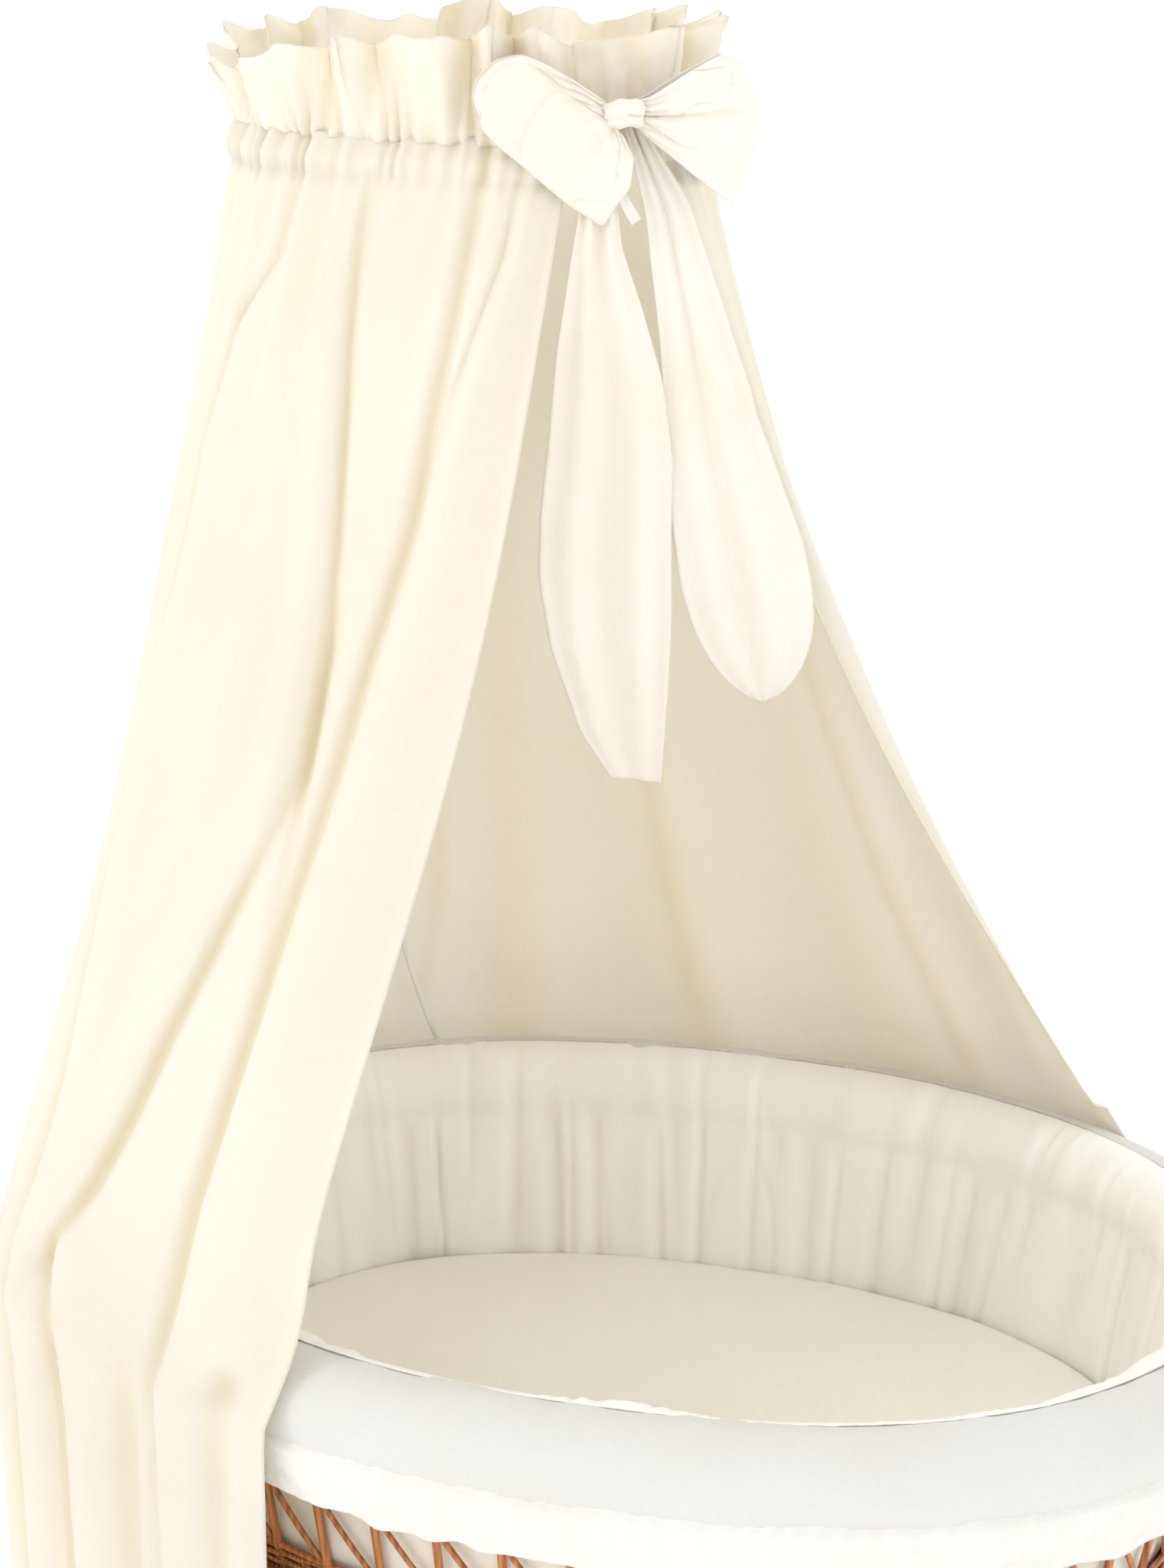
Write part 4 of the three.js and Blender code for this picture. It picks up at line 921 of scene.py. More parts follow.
def bumper_piece():
    n, m = 900, 64
    zt = np.linspace(0, 1, m)[None, :]
    arc = [((37.2 + 2.6 * min(1, (q - 96) / 34)) * math.cos(math.radians(q)), 743 + (37.2 + 2.6 * min(1, (q - 96) / 34)) * math.sin(math.radians(q))) for q in range(96, 200, 6)]
    prof = np.array(arc + [(-40.5, 716), (-43.5, 700), (-46.6, 684), (-49.0, 668), (-51.3, 652), (-53.5, 636), (-55.0, 623), (-55.6, 611), (-55.5, 590), (-55.5, 560), (-55.4, 552)]) / 1000
    L = np.concatenate([[0], np.cumsum(np.hypot(*np.diff(prof, axis=0).T))])
    L /= L[-1]
    LA = L[len(arc) - 1]                                                     # end of the part that lies on the roll
    tn = np.gradient(prof, axis=0)
    tn /= np.linalg.norm(tn, axis=1, keepdims=True)
    nrm = np.stack([tn[:, 1], -tn[:, 0]], -1)                              # towards the inside of the basket
    nrm *= np.sign((nrm * np.array([-1, .3])).sum(1, keepdims=True))

    def f(t, s):
        rho, z = np.interp(zt, L, prof[:, 0]) + 0 * s, np.interp(zt, L, prof[:, 1]) + 0 * s
        a0 = 93 + 13 * smooth(-.05, -.55, np.sin(t))                         # at the front the edge lies just behind the crest
        ang = a0 + (198 - a0) * zt / LA
        R = .0372 + .0026 * np.clip((ang - a0) / 34, 0, 1)
        rho = np.where(zt < LA, R * np.cos(np.radians(ang)), rho)
        z = np.where(zt < LA, PAD_Z + R * np.sin(np.radians(ang)), z)
        lean = (.0085 * noise1(s * 9, 111, 9) + .0040 * noise1(s * 21, 112, 21)) * (zt - .15)
        q = s + lean
        g = np.zeros(np.broadcast(s, zt).shape)
        r = np.random.default_rng(113)
        c = (np.arange(74) + .5 + r.uniform(-.45, .45, 74)) / 74
        for k in range(74):
            start, length, w, dep, tilt = r.uniform(-.1, .35), r.uniform(.3, 1.0), r.uniform(.0010, .0038), r.uniform(.0008, .0034), r.uniform(-.006, .006)
            bend = r.uniform(-.004, .004)
            x = (q - c[k] - tilt * zt - bend * zt * zt + .5) % 1 - .5
            on = smooth(start - .10, start + .10, zt) * smooth(start + length + .16, start + length - .12, zt)
            y = np.where(x < 0, x * 1.9, x * .8)                              # crisp on one side, soft on the other
            g = g - dep * np.exp(-(y / w) ** 2) * on + dep * .7 * np.exp(-((y - 1.7 * w) / (1.2 * w)) ** 2) * on
        g = g + .0046 * noise2(q * 26, zt * 1.1, 116, 26) + .0026 * noise2(q * 58, zt * 1.7, 118, 58) + .0008 * noise2(q * 120, zt * 4, 117, 120)
        ridge = 1 - np.abs(noise2(q * 44, zt * 1.3, 119, 44)) * 2.4
        g = g - .0016 * np.clip(ridge, 0, 1) ** 2
        g = g + .0008 * np.cos(2 * PI * (s * 190 + noise1(s * 90, 114, 90))) * smooth(.14, .02, zt)
        g = g * (.35 + .65 * smooth(1.02, .75, zt)) * (.12 + .88 * smooth(.0, .13, zt))
        g = np.clip(g, -.0010 - .0050 * smooth(LA, LA + .10, zt), .0056)
        nr, nz = np.interp(zt, L, nrm[:, 0]), np.interp(zt, L, nrm[:, 1])
        depth.append(g)
        return rho + nr * g, z + nz * g
    depth = []
    P = ovals(n, f)
    s = np.arange(n) / n * ARC_L
    t = t_of_s(s)[:, None]
    zb = np.array([.552, .60, .65, .69, .7050])[None, :]
    Q = at_rim(t + 0 * zb, wall_rho(zb) - .0098 + 0 * t, zb + 0 * t)
    W = at_rim(t + 0 * zb[:, :3], np.array([-.0345, -.0320, -.0150])[None, :] + 0 * t, np.array([.7200, .7480, .7740])[None, :] + 0 * t)
    S = np.concatenate([P, Q, W], 1)
    ob = grid("bumper_cloth", S, cu=True, cv=True, uv=oval_uv(S))
    # painted shade in the valleys of the bumper's folds
    return fold_shade(ob, np.concatenate([depth[0], np.zeros((n, S.shape[1] - m))], 1), 11, 130, .86)


def valance_piece():
    n, m = 1000, 30
    k = np.linspace(0, 1, m)[None, :]

    def f(t, s):
        bite = 1 - .17 * np.exp(-((s - .632) / .045) ** 2)                  # drawn up a little beside the canopy
        z = .7330 - .0500 * k * bite + 0 * s
        rho = .0335 - .0040 * k + 0 * s
        gather = np.cos(2 * PI * (s * 132 + 1.1 * noise1(s * 51, 121, 51)))
        wide = np.cos(2 * PI * (s * 46 + .9 * noise1(s * 23, 122, 23)))
        crump = fbm2(s * 84 + .6 * noise2(s * 30, k * 2, 128, 30), k * 2.2, 123, 84)
        rho = rho + .0009 * gather * smooth(.8, .0, k) * smooth(0, .1, k) + .0019 * wide * smooth(.1, 1, k) + .0017 * crump * (.35 + k)
        rho = rho - .0013 * np.abs(noise2(s * 170, k * 3.5 + s * 40, 124, 170)) * smooth(0, .2, k)
        rho = rho + .0052 * smooth(.02, .20, k) * (1 - .55 * smooth(.35, 1, k))
        z = z - .0022 * noise1(s * 37, 125, 37) * k - .0010 * wide * k
        rho = np.clip(rho, .0255, .0398)
        return rho, z
    P = ovals(n, f)
    ob = grid("valance_frill", P, cu=True, uv=oval_uv(P))
    return thicken(ob, .0009), P


def lining_piece():
    """Cotton lining on the inside of the wall, seen between the sticks."""
    n, m = 420, 14
    k = np.linspace(0, 1, m)[None, :]

    def f(t, s):
        z = .584 + .082 * k + 0 * s
        rho = wall_rho(z) - .0068 + .0012 * fbm2(s * 60, k * 1.5, 131, 60)
        return rho, z
    P = ovals(n, f)
    return thicken(grid("basket_lining", P, cu=True, uv=oval_uv(P)), .0008)


def oval_disc(name, prof, rings=26, n=300, dz=None, uv=True):
    """Closed padded body: prof runs from the rim of the top to the underside as (offset, height)."""
    prof = np.asarray(prof, float)
    s = np.arange(n) / n * ARC_L
    t = t_of_s(s)
    rx, ry, nx, ny = rim(t)
    cols, kk = [], np.linspace(0, 1, rings)
    top_rho, top_z = prof[0]
    bx, by = rx + nx * top_rho, ry + ny * top_rho
    for q in kk[:-1]:
        cols.append(np.stack([CX + bx * q, CY + by * q, np.full(n, top_z)], -1))
    for rho, z in prof:
        cols.append(np.stack([CX + rx + nx * rho, CY + ry + ny * rho, np.full(n, z)], -1))
    P = np.stack(cols, 1)
    if dz is not None:
        P = dz(P, len(kk) - 1)
    ob = grid(name, P, cu=True, uv=P[..., :2] + P[..., 2:3] * np.array([.7, .7]))
    return ob, P


def close_disc(ob):
    """Welds the coincident points at the centre."""
    import bmesh
    bm = bmesh.new()
    bm.from_mesh(ob.data)
    bmesh.ops.remove_doubles(bm, verts=bm.verts, dist=1e-6)
    bmesh.ops.recalc_face_normals(bm, faces=bm.faces)
    bm.to_mesh(ob.data)
    bm.free()
    return ob


ROLL = place(roll_piece(), ROLL_MAT, "basket", "rim_padding", slot="cream_cotton")
BUMPER = place(bumper_piece(), BUMPER_MAT, "basket", "bumper", slot="cream_cotton")
VALANCE, VP = valance_piece()
place(VALANCE, VALANCE_MAT, "basket", "valance", slot="white_cotton")
# painted shade: the lining has no 'fold' attribute, so BUMPER_MAT gives it the fold-shade colour all over
LINING = place(lining_piece(), BUMPER_MAT, "basket", slot="cream_cotton")


def crown(P, k0):
    x, y = P[..., 0] - CX, P[..., 1] - CY
    r = np.clip(np.hypot(x / .362, y / .240), 0, 1)
    top = np.arange(P.shape[1])[None, :] <= k0 + 2
    P = P.copy()
    P[..., 2] += np.where(top, .0022 * (1 - r ** 3) + .0007 * fbm2(x * 9 + 20, y * 9 + 20, 141) + .0005 * noise2(x * 34 + 40, y * 22 + 40, 144) * smooth(.5, 1.0, r), 0)
    return P


MATTRESS, _ = oval_disc("mattress_body", [(-.0625, .6082), (-.0595, .6068), (-.0580, .603), (-.0579, .580), (-.0579, .557), (-.0600, .5525), (-.0640, .5518)], rings=14, n=240)
m2, P2 = oval_disc("mattress_under", [(-.0640, .5518)], rings=10, n=240)
dress(MATTRESS, TICK_MAT)
MB = join("mattress_body", [MATTRESS, m2])
close_disc(MB)
place(MB, TICK_MAT, "mattress", "mattress", slot="white_cotton")
SHEET, SP = oval_disc("fitted_sheet_cloth", [(-.066, .6100), (-.0618, .6092), (-.0585, .6072), (-.0568, .6038), (-.0563, .598), (-.0562, .588), (-.0563, .578), (-.0566, .5725)], rings=60, n=420, dz=crown)
close_disc(SHEET)
thicken(SHEET, .0007, 0)
place(SHEET, SHEET_MAT, "mattress", "fitted_sheet", slot="cream_cotton")

# ------------------------------------------------------------------ basket cane and weave
STICKS = 46
POLE_A = math.radians(126.5)
S0 = float(s_of_t(POLE_A)) - .0075
PITCH = ARC_L / STICKS
LB, LT, LR = .5903, .6567, .0047


def at_s(s, rho, z):
    return at_rim(t_of_s(s), rho, z)


bag = Bag()
r_ = np.random.default_rng(151)
for i in range(STICKS):
    s = S0 + i * PITCH
    z = np.linspace(LB - .001, LT + .001, 9)
    wob = .0005 * r_.uniform(-1, 1)
    V, F = tube_arrays(at_s(s + wob * np.sin(np.linspace(0, PI, 9)), wall_rho(z), z), (.0031 + r_.uniform(-.0002, .0002)) * np.ones(9), 10)
    bag.add(V, F)
    # the thinner diagonal, from the top of one stick to the foot of the next
    k = np.linspace(0, 1, 11)
    z = LT - .0015 - (LT - LB - .003) * k
    V, F = tube_arrays(at_s(s + .003 + (PITCH - .006) * k, wall_rho(z) + .0008 * np.sin(PI * k), z), .0021 + r_.uniform(-.0001, .0002), 8)
    bag.add(V, F)
for z0, r0 in ((LB + .0023, .00235), (LT - .0023, .00235)):
    s = np.arange(276) / 276 * ARC_L
    V, F = tube_arrays(at_s(s, wall_rho(z0) + 0 * s, z0 + 0 * s), r0 + .0001 * noise1(s * 60, 152), 8, closed=True, up=(0, 0, 1))
    bag.add(V, F)
LATTICE = place(bag.build("lattice_sticks"), RATTAN, "basket", "lattice_band", slot="rattan")


def weave(name, z0, z1, rows, stakes, seed):
    """Strands passing in front of and behind upright stakes, each row shifted by one stake."""
    b = Bag()
    step = (z1 - z0) / rows
    n = stakes * 6
    s = np.arange(n) / n * ARC_L
    for j in range(rows):
        z = z0 + step * (j + .5)
        sgn = 1 if j % 2 else -1
        amp = .0019 * sgn * np.cos(PI * stakes * s / ARC_L)
        zz = z + .0003 * noise1(s * 40 + 13 * j, seed + j) + .0002 * np.sin(s * 90 + j)
        V, F = tube_arrays(at_s(s, wall_rho(z) + amp, zz), step * .52 * (1 + .07 * noise1(s * 55, seed + 40 + j)), 6, closed=True, up=(0, 0, 1), flat=1.0)
        b.add(V, F)
    for i in range(stakes):
        z = np.array([z0 - .0005, (z0 + z1) / 2, z1 + .0005])
        V, F = tube_arrays(at_s((i + .5) / stakes * ARC_L + 0 * z, wall_rho(z), z), .0015, 6)
        b.add(V, F)
    return b.build(name)


def weave_floor():
    """Spiral-like oval rows of the basket's floor."""
    b = Bag()
    n = 360
    for j in range(31):
        k = 1 - j / 31
        s = np.arange(n) / n * ARC_L
        t = t_of_s(s)
        x, y, nx, ny = rim(t)
        off = wall_rho(.5415)
        bx, by = (x + nx * off) * k, (y + ny * off) * k
        zz = .5428 + (.0009 if j % 2 else -.0009) * np.cos(PI * 60 * s / ARC_L)
        V, F = tube_arrays(np.stack([CX + bx, CY + by, zz], -1), .0019 if j else .0024, 5, closed=True, up=(0, 0, 1))
        V[:, :2] = (V[:, :2] - [CX, CY]) * 1.0 + [CX, CY]
        b.add(V, F)
    for i in range(30):
        a = t_of_s((i + .5) / 30 * ARC_L)
        x, y, nx, ny = rim(a)
        off = wall_rho(.5415)
        e = np.array([float(x + nx * off), float(y + ny * off)])
        k = np.linspace(.06, .995, 8)[:, None]
        p = np.concatenate([np.array([CX, CY]) + e * k, np.full((8, 1), .5430)], 1)
        V, F = tube_arrays(p, .0016, 5, up=(0, 0, 1))
        b.add(V, F)
    return b.build("basket_floor_weave")


LOWER = weave("lower_weave_strands", .5420, .5890, 12, 92, 160)
WFLOOR = weave_floor()
place(LOWER, WICKER, "basket", "lower_weave", slot="wicker")
place(WFLOOR, WICKER, "basket", slot="wicker")
UPPER = place(weave("upper_weave_strands", .6585, .7330, 18, 92, 260), WICKER, "basket", "upper_weave", slot="wicker")
b = Bag()
s = np.arange(300) / 300 * ARC_L
V, F = tube_arrays(at_s(s, 0 * s, PAD_Z + 0 * s), .0088, 14, closed=True, up=(0, 0, 1))
b.add(V, F)
place(b.build("rim_hoop_cane"), RATTAN, "basket", "rim_hoop", slot="rattan")
bd, _ = oval_disc("base_board_ply", [(-.0425, .5513), (-.0403, .5508), (-.0400, .5500), (-.0400, .5462), (-.0410, .5453)], rings=6, n=200)
bu, _ = oval_disc("base_under", [(-.0410, .5453)], rings=6, n=200)
BOARD_P = join("base_board_ply", [bd, bu])
close_disc(BOARD_P)
place(BOARD_P, BOARD, "basket", "base_board", slot="board")

# ------------------------------------------------------------------ canopy pole, clamp and ring
PX, PY = mid("pole_tube")[:2]
_, _, pnx, pny = rim(POLE_A)
PN = np.array([float(pnx), float(pny), 0])
PT = np.array([-PN[1], PN[0], 0])


def merged(name, *parts):
    b = Bag()
    for p in parts:
        b.add(*p)
    return b.build(name)


def crease(ob, w=.0006, seg=3, angle=30):
    """Rounded edges with smooth shading between them."""
    bevel(ob, w, seg, angle)
    ob.modifiers["bevel"].harden_normals = False
    return ob


ring_t = np.linspace(0, 2 * PI, 160, endpoint=False)
RING = merged("canopy_ring_wire", tube_arrays(np.stack([RX + .160 * np.cos(ring_t), RY + .100 * np.sin(ring_t), RZ + 0 * ring_t], -1), .003, 14, closed=True, up=(0, 0, 1)))
place(RING, WHITE_METAL, "canopy", "canopy_ring", slot="white_metal")


def rod_path():
    pts = [[PX, PY, z] for z in (.606, .650, .700, .742, .756)]
    for z, u, inset in ((.790, .594, 27), (.850, .580, 15), (.920, .568, 11), (1.0, .557, 11), (1.1, .545, 11), (1.2, .535, 11), (1.3, .523, 11), (1.4, .511, 11), (1.49, .503, 11)):
        a, _ = canopy_mid(max(0, u - .004), z)
        c, _ = canopy_mid(min(1, u + .004), z)
        p, _ = canopy_mid(u, z)
        n = np.array([-(c - a)[1], (c - a)[0], 0])
        n /= np.linalg.norm(n)
        pts.append((p - n * inset / 1000).tolist())
    rt = math.radians(140)
    pts.append([RX + .160 * math.cos(rt), RY + .100 * math.sin(rt), RZ - .0036])
    p = np.asarray(pts)
    # Catmull-Rom through the points
    out = []
    q = np.concatenate([[2 * p[0] - p[1]], p, [2 * p[-1] - p[-2]]])
    for i in range(1, len(q) - 2):
        for t in np.linspace(0, 1, 8, endpoint=False):
            out.append(.5 * ((2 * q[i]) + (-q[i - 1] + q[i + 1]) * t + (2 * q[i - 1] - 5 * q[i] + 4 * q[i + 1] - q[i + 2]) * t * t + (-q[i - 1] + 3 * q[i] - 3 * q[i + 1] + q[i + 2]) * t ** 3))
    out.append(p[-1])
    return np.asarray(out)


ROD = merged("canopy_rod_wire", tube_arrays(rod_path(), .0025, 14))
place(ROD, WHITE_METAL, "canopy", "canopy_rod", slot="white_metal")
TUBE = merged("pole_tube_round", turned_arrays([[.0032, .596], [.0046, .596], [.005, .5964], [.005, .7276], [.0046, .728], [.0032, .728]], 32, (PX, PY, 0)))
place(TUBE, WHITE_METAL, "basket", "pole_tube", slot="white_metal")
COLLAR = merged("pole_collar_round", turned_arrays([[.0029, .7284], [.0072, .7284], [.008, .7292], [.008, .7412], [.0072, .742], [.0029, .742]], 36, (PX, PY, 0)))
place(COLLAR, WHITE_METAL, "basket", "pole_collar", slot="white_metal")


def knob_arrays(profile, lobes, depth, seg, start, direction, grip_from):
    """A turned knob whose grip part has shallow lobes."""
    V, F = turned_arrays(profile, seg, start, direction)
    start, d = np.asarray(start, float), np.asarray(direction, float)
    d = d / np.linalg.norm(d)
    rel = V - start
    h = rel @ d
    radial = rel - h[:, None] * d
    r = np.linalg.norm(radial, axis=1)
    ref = np.cross([0, 0, 1.0] if abs(d[2]) < .9 else [1.0, 0, 0], d)
    ref /= np.linalg.norm(ref)
    a = np.arctan2(radial @ np.cross(d, ref), radial @ ref)
    grip = (h > grip_from) & (r > .55 * r.max())
    k = np.where(grip, 1 - depth * (.5 - .5 * np.cos(lobes * a)), 1)
    return start + h[:, None] * d + radial * k[:, None], F


def mm(profile):
    return [[a / 1000, b / 1000] for a, b in profile]


mid_c = (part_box("pole_collar")[0][2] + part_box("pole_collar")[1][2]) / 2
CSCREW = merged("collar_screw_lobed", knob_arrays(mm([[0, 3.2], [2, 3.2], [2, 9], [6.4, 9.2], [7.4, 10], [7.9, 11.4], [7.9, 15.6], [7.4, 16.8], [6.2, 17.8], [4.6, 17.6], [4.2, 17.0], [0, 16.8]]), 6, .13, 72, (PX, PY, mid_c), PT, .0093))
place(CSCREW, GREY, "collar_screw", "collar_screw", slot="grey_plastic")
for i, sg in ((1, -1), (2, 1)):
    t = float(t_of_s(s_of_t(POLE_A) + sg * .0235))
    x, y, nx, ny = rim(t)
    w = -(.743 - .634) * .18
    prof = mm([[0, -8.2], [2.4, -8.2], [3, -7.6], [3, 8.0], [6, 8.0], [6, 9.6], [10.6, 9.7], [11.6, 10.4], [12, 12], [12, 15.6], [11.4, 17.2], [10, 18.5], [7.2, 18.3], [6.6, 17.4], [0, 17.2]])
    KN = merged(f"clamp_knob_{i}_lobed", knob_arrays(prof, 7, .12, 84, (CX + float(x) + float(nx) * w, CY + float(y) + float(ny) * w, .634), (float(nx), float(ny), 0), .0097))
    place(KN, GREY, f"clamp_knob_{i}", f"clamp_knob_{i}", slot="grey_plastic")


def plate_piece(name, sa, sb, z0, z1, r0, r1, n=24):
    """Curved plate that follows the wall, with rounded corners."""
    s0 = float(s_of_t(POLE_A))
    s = np.linspace(s0 + sa, s0 + sb, n)
    z = np.linspace(z0, z1, 7)
    S, Z = np.meshgrid(s, z, indexing="ij")
    e = np.clip(1 - (sb - np.abs(S - s0)) / .006, 0, 1)
    mz = (z0 + z1) / 2
    Z = mz + (Z - mz) * (1 - e * e * .16)
    a, c = at_s(S, wall_rho(Z) + r0, Z), at_s(S, wall_rho(Z) + r1, Z)
    V = np.concatenate([a.reshape(-1, 3), c.reshape(-1, 3)])
    m = n * 7
    F = [grid_faces(n, 7)[:, ::-1], grid_faces(n, 7) + m]
    edge = [i * 7 for i in range(n)] + [(n - 1) * 7 + j for j in range(1, 7)] + [i * 7 + 6 for i in range(n - 2, -1, -1)] + [j for j in range(5, 0, -1)]
    k = np.asarray(edge)
    k1 = np.roll(k, -1)
    F.append(np.stack([k, k1, k1 + m, k + m], -1))
    return V, np.concatenate(F)


bk = Bag()
bk.add(*plate_piece("p", -.040, .040, .600, .650, .0036, .0068))
r0 = float(wall_rho(.618)) + .0046
mpos = np.array([PX, PY, 0]) - PN * .048
for zc in (.618,):
    c0, c1 = mpos + PN * (r0 + .0004), mpos + PN * (.048 - .0052)
    V = []
    for p in (c0, c1):
        for sy, sz in ((-1, -1), (1, -1), (1, 1), (-1, 1)):
            V.append(p + PT * .007 * sy + np.array([0, 0, zc + .011 * sz]))
    bk.add(np.asarray(V), np.array([[0, 3, 2, 1], [4, 5, 6, 7], [0, 1, 5, 4], [1, 2, 6, 5], [2, 3, 7, 6], [3, 0, 4, 7]]))
bk.add(*turned_arrays(mm([[5.4, 602], [8.2, 602], [9, 602.8], [9, 639.2], [8.2, 640], [5.4, 640]]), 40, (PX, PY, 0)))
BRACKET = crease(bk.build("pole_bracket_pressed"), .0005)
place(BRACKET, WHITE_METAL, "basket", "pole_bracket", slot="white_metal")
bb = Bag()
bb.add(*plate_piece("q", -.036, .036, .620, .648, -.0062, -.0036))
BACKP = crease(bb.build("clamp_backing_plate_pressed"), .0004)
place(BACKP, WHITE_METAL, "basket", "clamp_backing_plate", slot="white_metal")

# ------------------------------------------------------------------ stand
LEG_T = {"foot_back": 50, "head_back": 130, "head_front": 230, "foot_front": 310}
LZ0, LZ1, BOLT_Z = .066, .580, .556


def leg_at(deg, z):
    rho = .0025 + (BOLT_Z - z) * .0612
    return at_rim(math.radians(deg), rho, z)


for k, deg in LEG_T.items():
    bot, top = leg_at(deg, LZ0), leg_at(deg, LZ1)
    d = top - bot
    ln = float(np.linalg.norm(d))
    d /= ln
    zz = np.linspace(.004, ln - .006, 26)
    rr = .0108 + (.014 - .0108) * (zz / ln) + .0012 * np.exp(-((zz - ln * .56) / .05) ** 2)
    prof = [[0, 0], [.0092, 0], [.0104, .0012]] + [[float(a), float(h)] for a, h in zip(rr, zz)] + [[.0134, ln - .0045], [.0118, ln - .0015], [.0092, ln], [0, ln + .0004]]
    LEG = merged(f"leg_{k}_turned", turned_arrays(prof, 48, bot, d))
    place(LEG, HONEY_Z, "stand", f"leg_{k}", slot="honey_wood")
    x, y, nx, ny = rim(math.radians(deg))
    o = (CX + float(x), CY + float(y), BOLT_Z)
    b0, b1 = -.024, .0025 + .014 + .0008
    BOLT = merged(f"leg_bolt_{k}_domed", turned_arrays([[0, b0], [.003, b0], [.003, b1 - .0012], [.0085, b1 - .0012], [.0088, b1 - .0006], [.0085, b1], [.0070, b1], [.0068, b1 + .0016], [.0058, b1 + .0032], [.0040, b1 + .0044], [.0022, b1 + .0050], [.0021, b1 + .0030], [0, b1 + .0030]], 36, o, (float(nx), float(ny), 0)))
    place(BOLT, STEEL, "stand", f"leg_bolt_{k}", slot="steel")
    SOCK = merged(f"caster_socket_{k}_cup", turned_arrays([[.0054, -.0024], [.0125, -.0024], [.0135, -.0014], [.0135, .0195], [.0140, .0202], [.0140, .0215], [.0135, .022], [.0117, .022], [.0117, -.0004], [.0054, -.0004]], 40, bot, d))
    place(SOCK, STEEL, "stand", f"caster_socket_{k}", slot="steel")

hs = np.arange(320) / 320 * ARC_L
prof = [(-.0250, .5400), (-.0140, .5400), (-.0133, .5404), (-.0130, .5410), (-.0130, .5710), (-.0133, .5716), (-.0140, .5720), (-.0250, .5720), (-.0257, .5716), (-.0260, .5710), (-.0260, .5410), (-.0257, .5404)]
PH = np.stack([at_s(hs, r + 0 * hs, z + 0 * hs) for r, z in prof], 1)
HOOP = grid("cradle_hoop_bent", PH, cu=True, cv=True)
place(HOOP, HONEY_X, "stand", "cradle_hoop", slot="honey_wood")
for k, x in (("head", -.2), ("foot", .2)):
    lo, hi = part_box(f"bearer_{k}")
    me_v = [(xx, yy, zz) for xx in (lo[0], hi[0]) for yy in (lo[1], hi[1]) for zz in (lo[2], hi[2])]
    BR = crease(make(f"bearer_{k}_planed", me_v, [[0, 1, 3, 2], [4, 6, 7, 5], [0, 4, 5, 1], [2, 3, 7, 6], [0, 2, 6, 4], [1, 5, 7, 3]], smooth_shade=False), .0024, 4)
    place(BR, HONEY_Y, "stand", f"bearer_{k}", slot="honey_wood")


def rail(name, a, b, r, mat, node):
    a, b = np.asarray(a, float), np.asarray(b, float)
    d = b - a
    ln = float(np.linalg.norm(d))
    h = np.linspace(0, ln, 24)
    rr = r * (1 - .10 * np.exp(-(h / .03) ** 2) - .10 * np.exp(-((ln - h) / .03) ** 2))
    prof = [[0, 0]] + [[float(q), float(g)] for q, g in zip(rr, h)] + [[0, ln]]
    place(merged(name, turned_arrays(prof, 40, a, d)), mat, "stand", node, slot="honey_wood")


SZ = .190
for k in ("head", "foot"):
    a, c = leg_at(LEG_T[f"{k}_front"], SZ), leg_at(LEG_T[f"{k}_back"], SZ)
    dy = (c - a) / np.linalg.norm(c - a)
    rail(f"end_stretcher_{k}_turned", a + dy * .0118, c - dy * .0118, .009, HONEY_Y, f"end_stretcher_{k}")
xh, xf = leg_at(LEG_T["head_front"], SZ)[0], leg_at(LEG_T["foot_front"], SZ)[0]
rail("long_stretcher_turned", (xh + .0088, CY, SZ), (xf - .0088, CY, SZ), .008, HONEY_X, "long_stretcher")

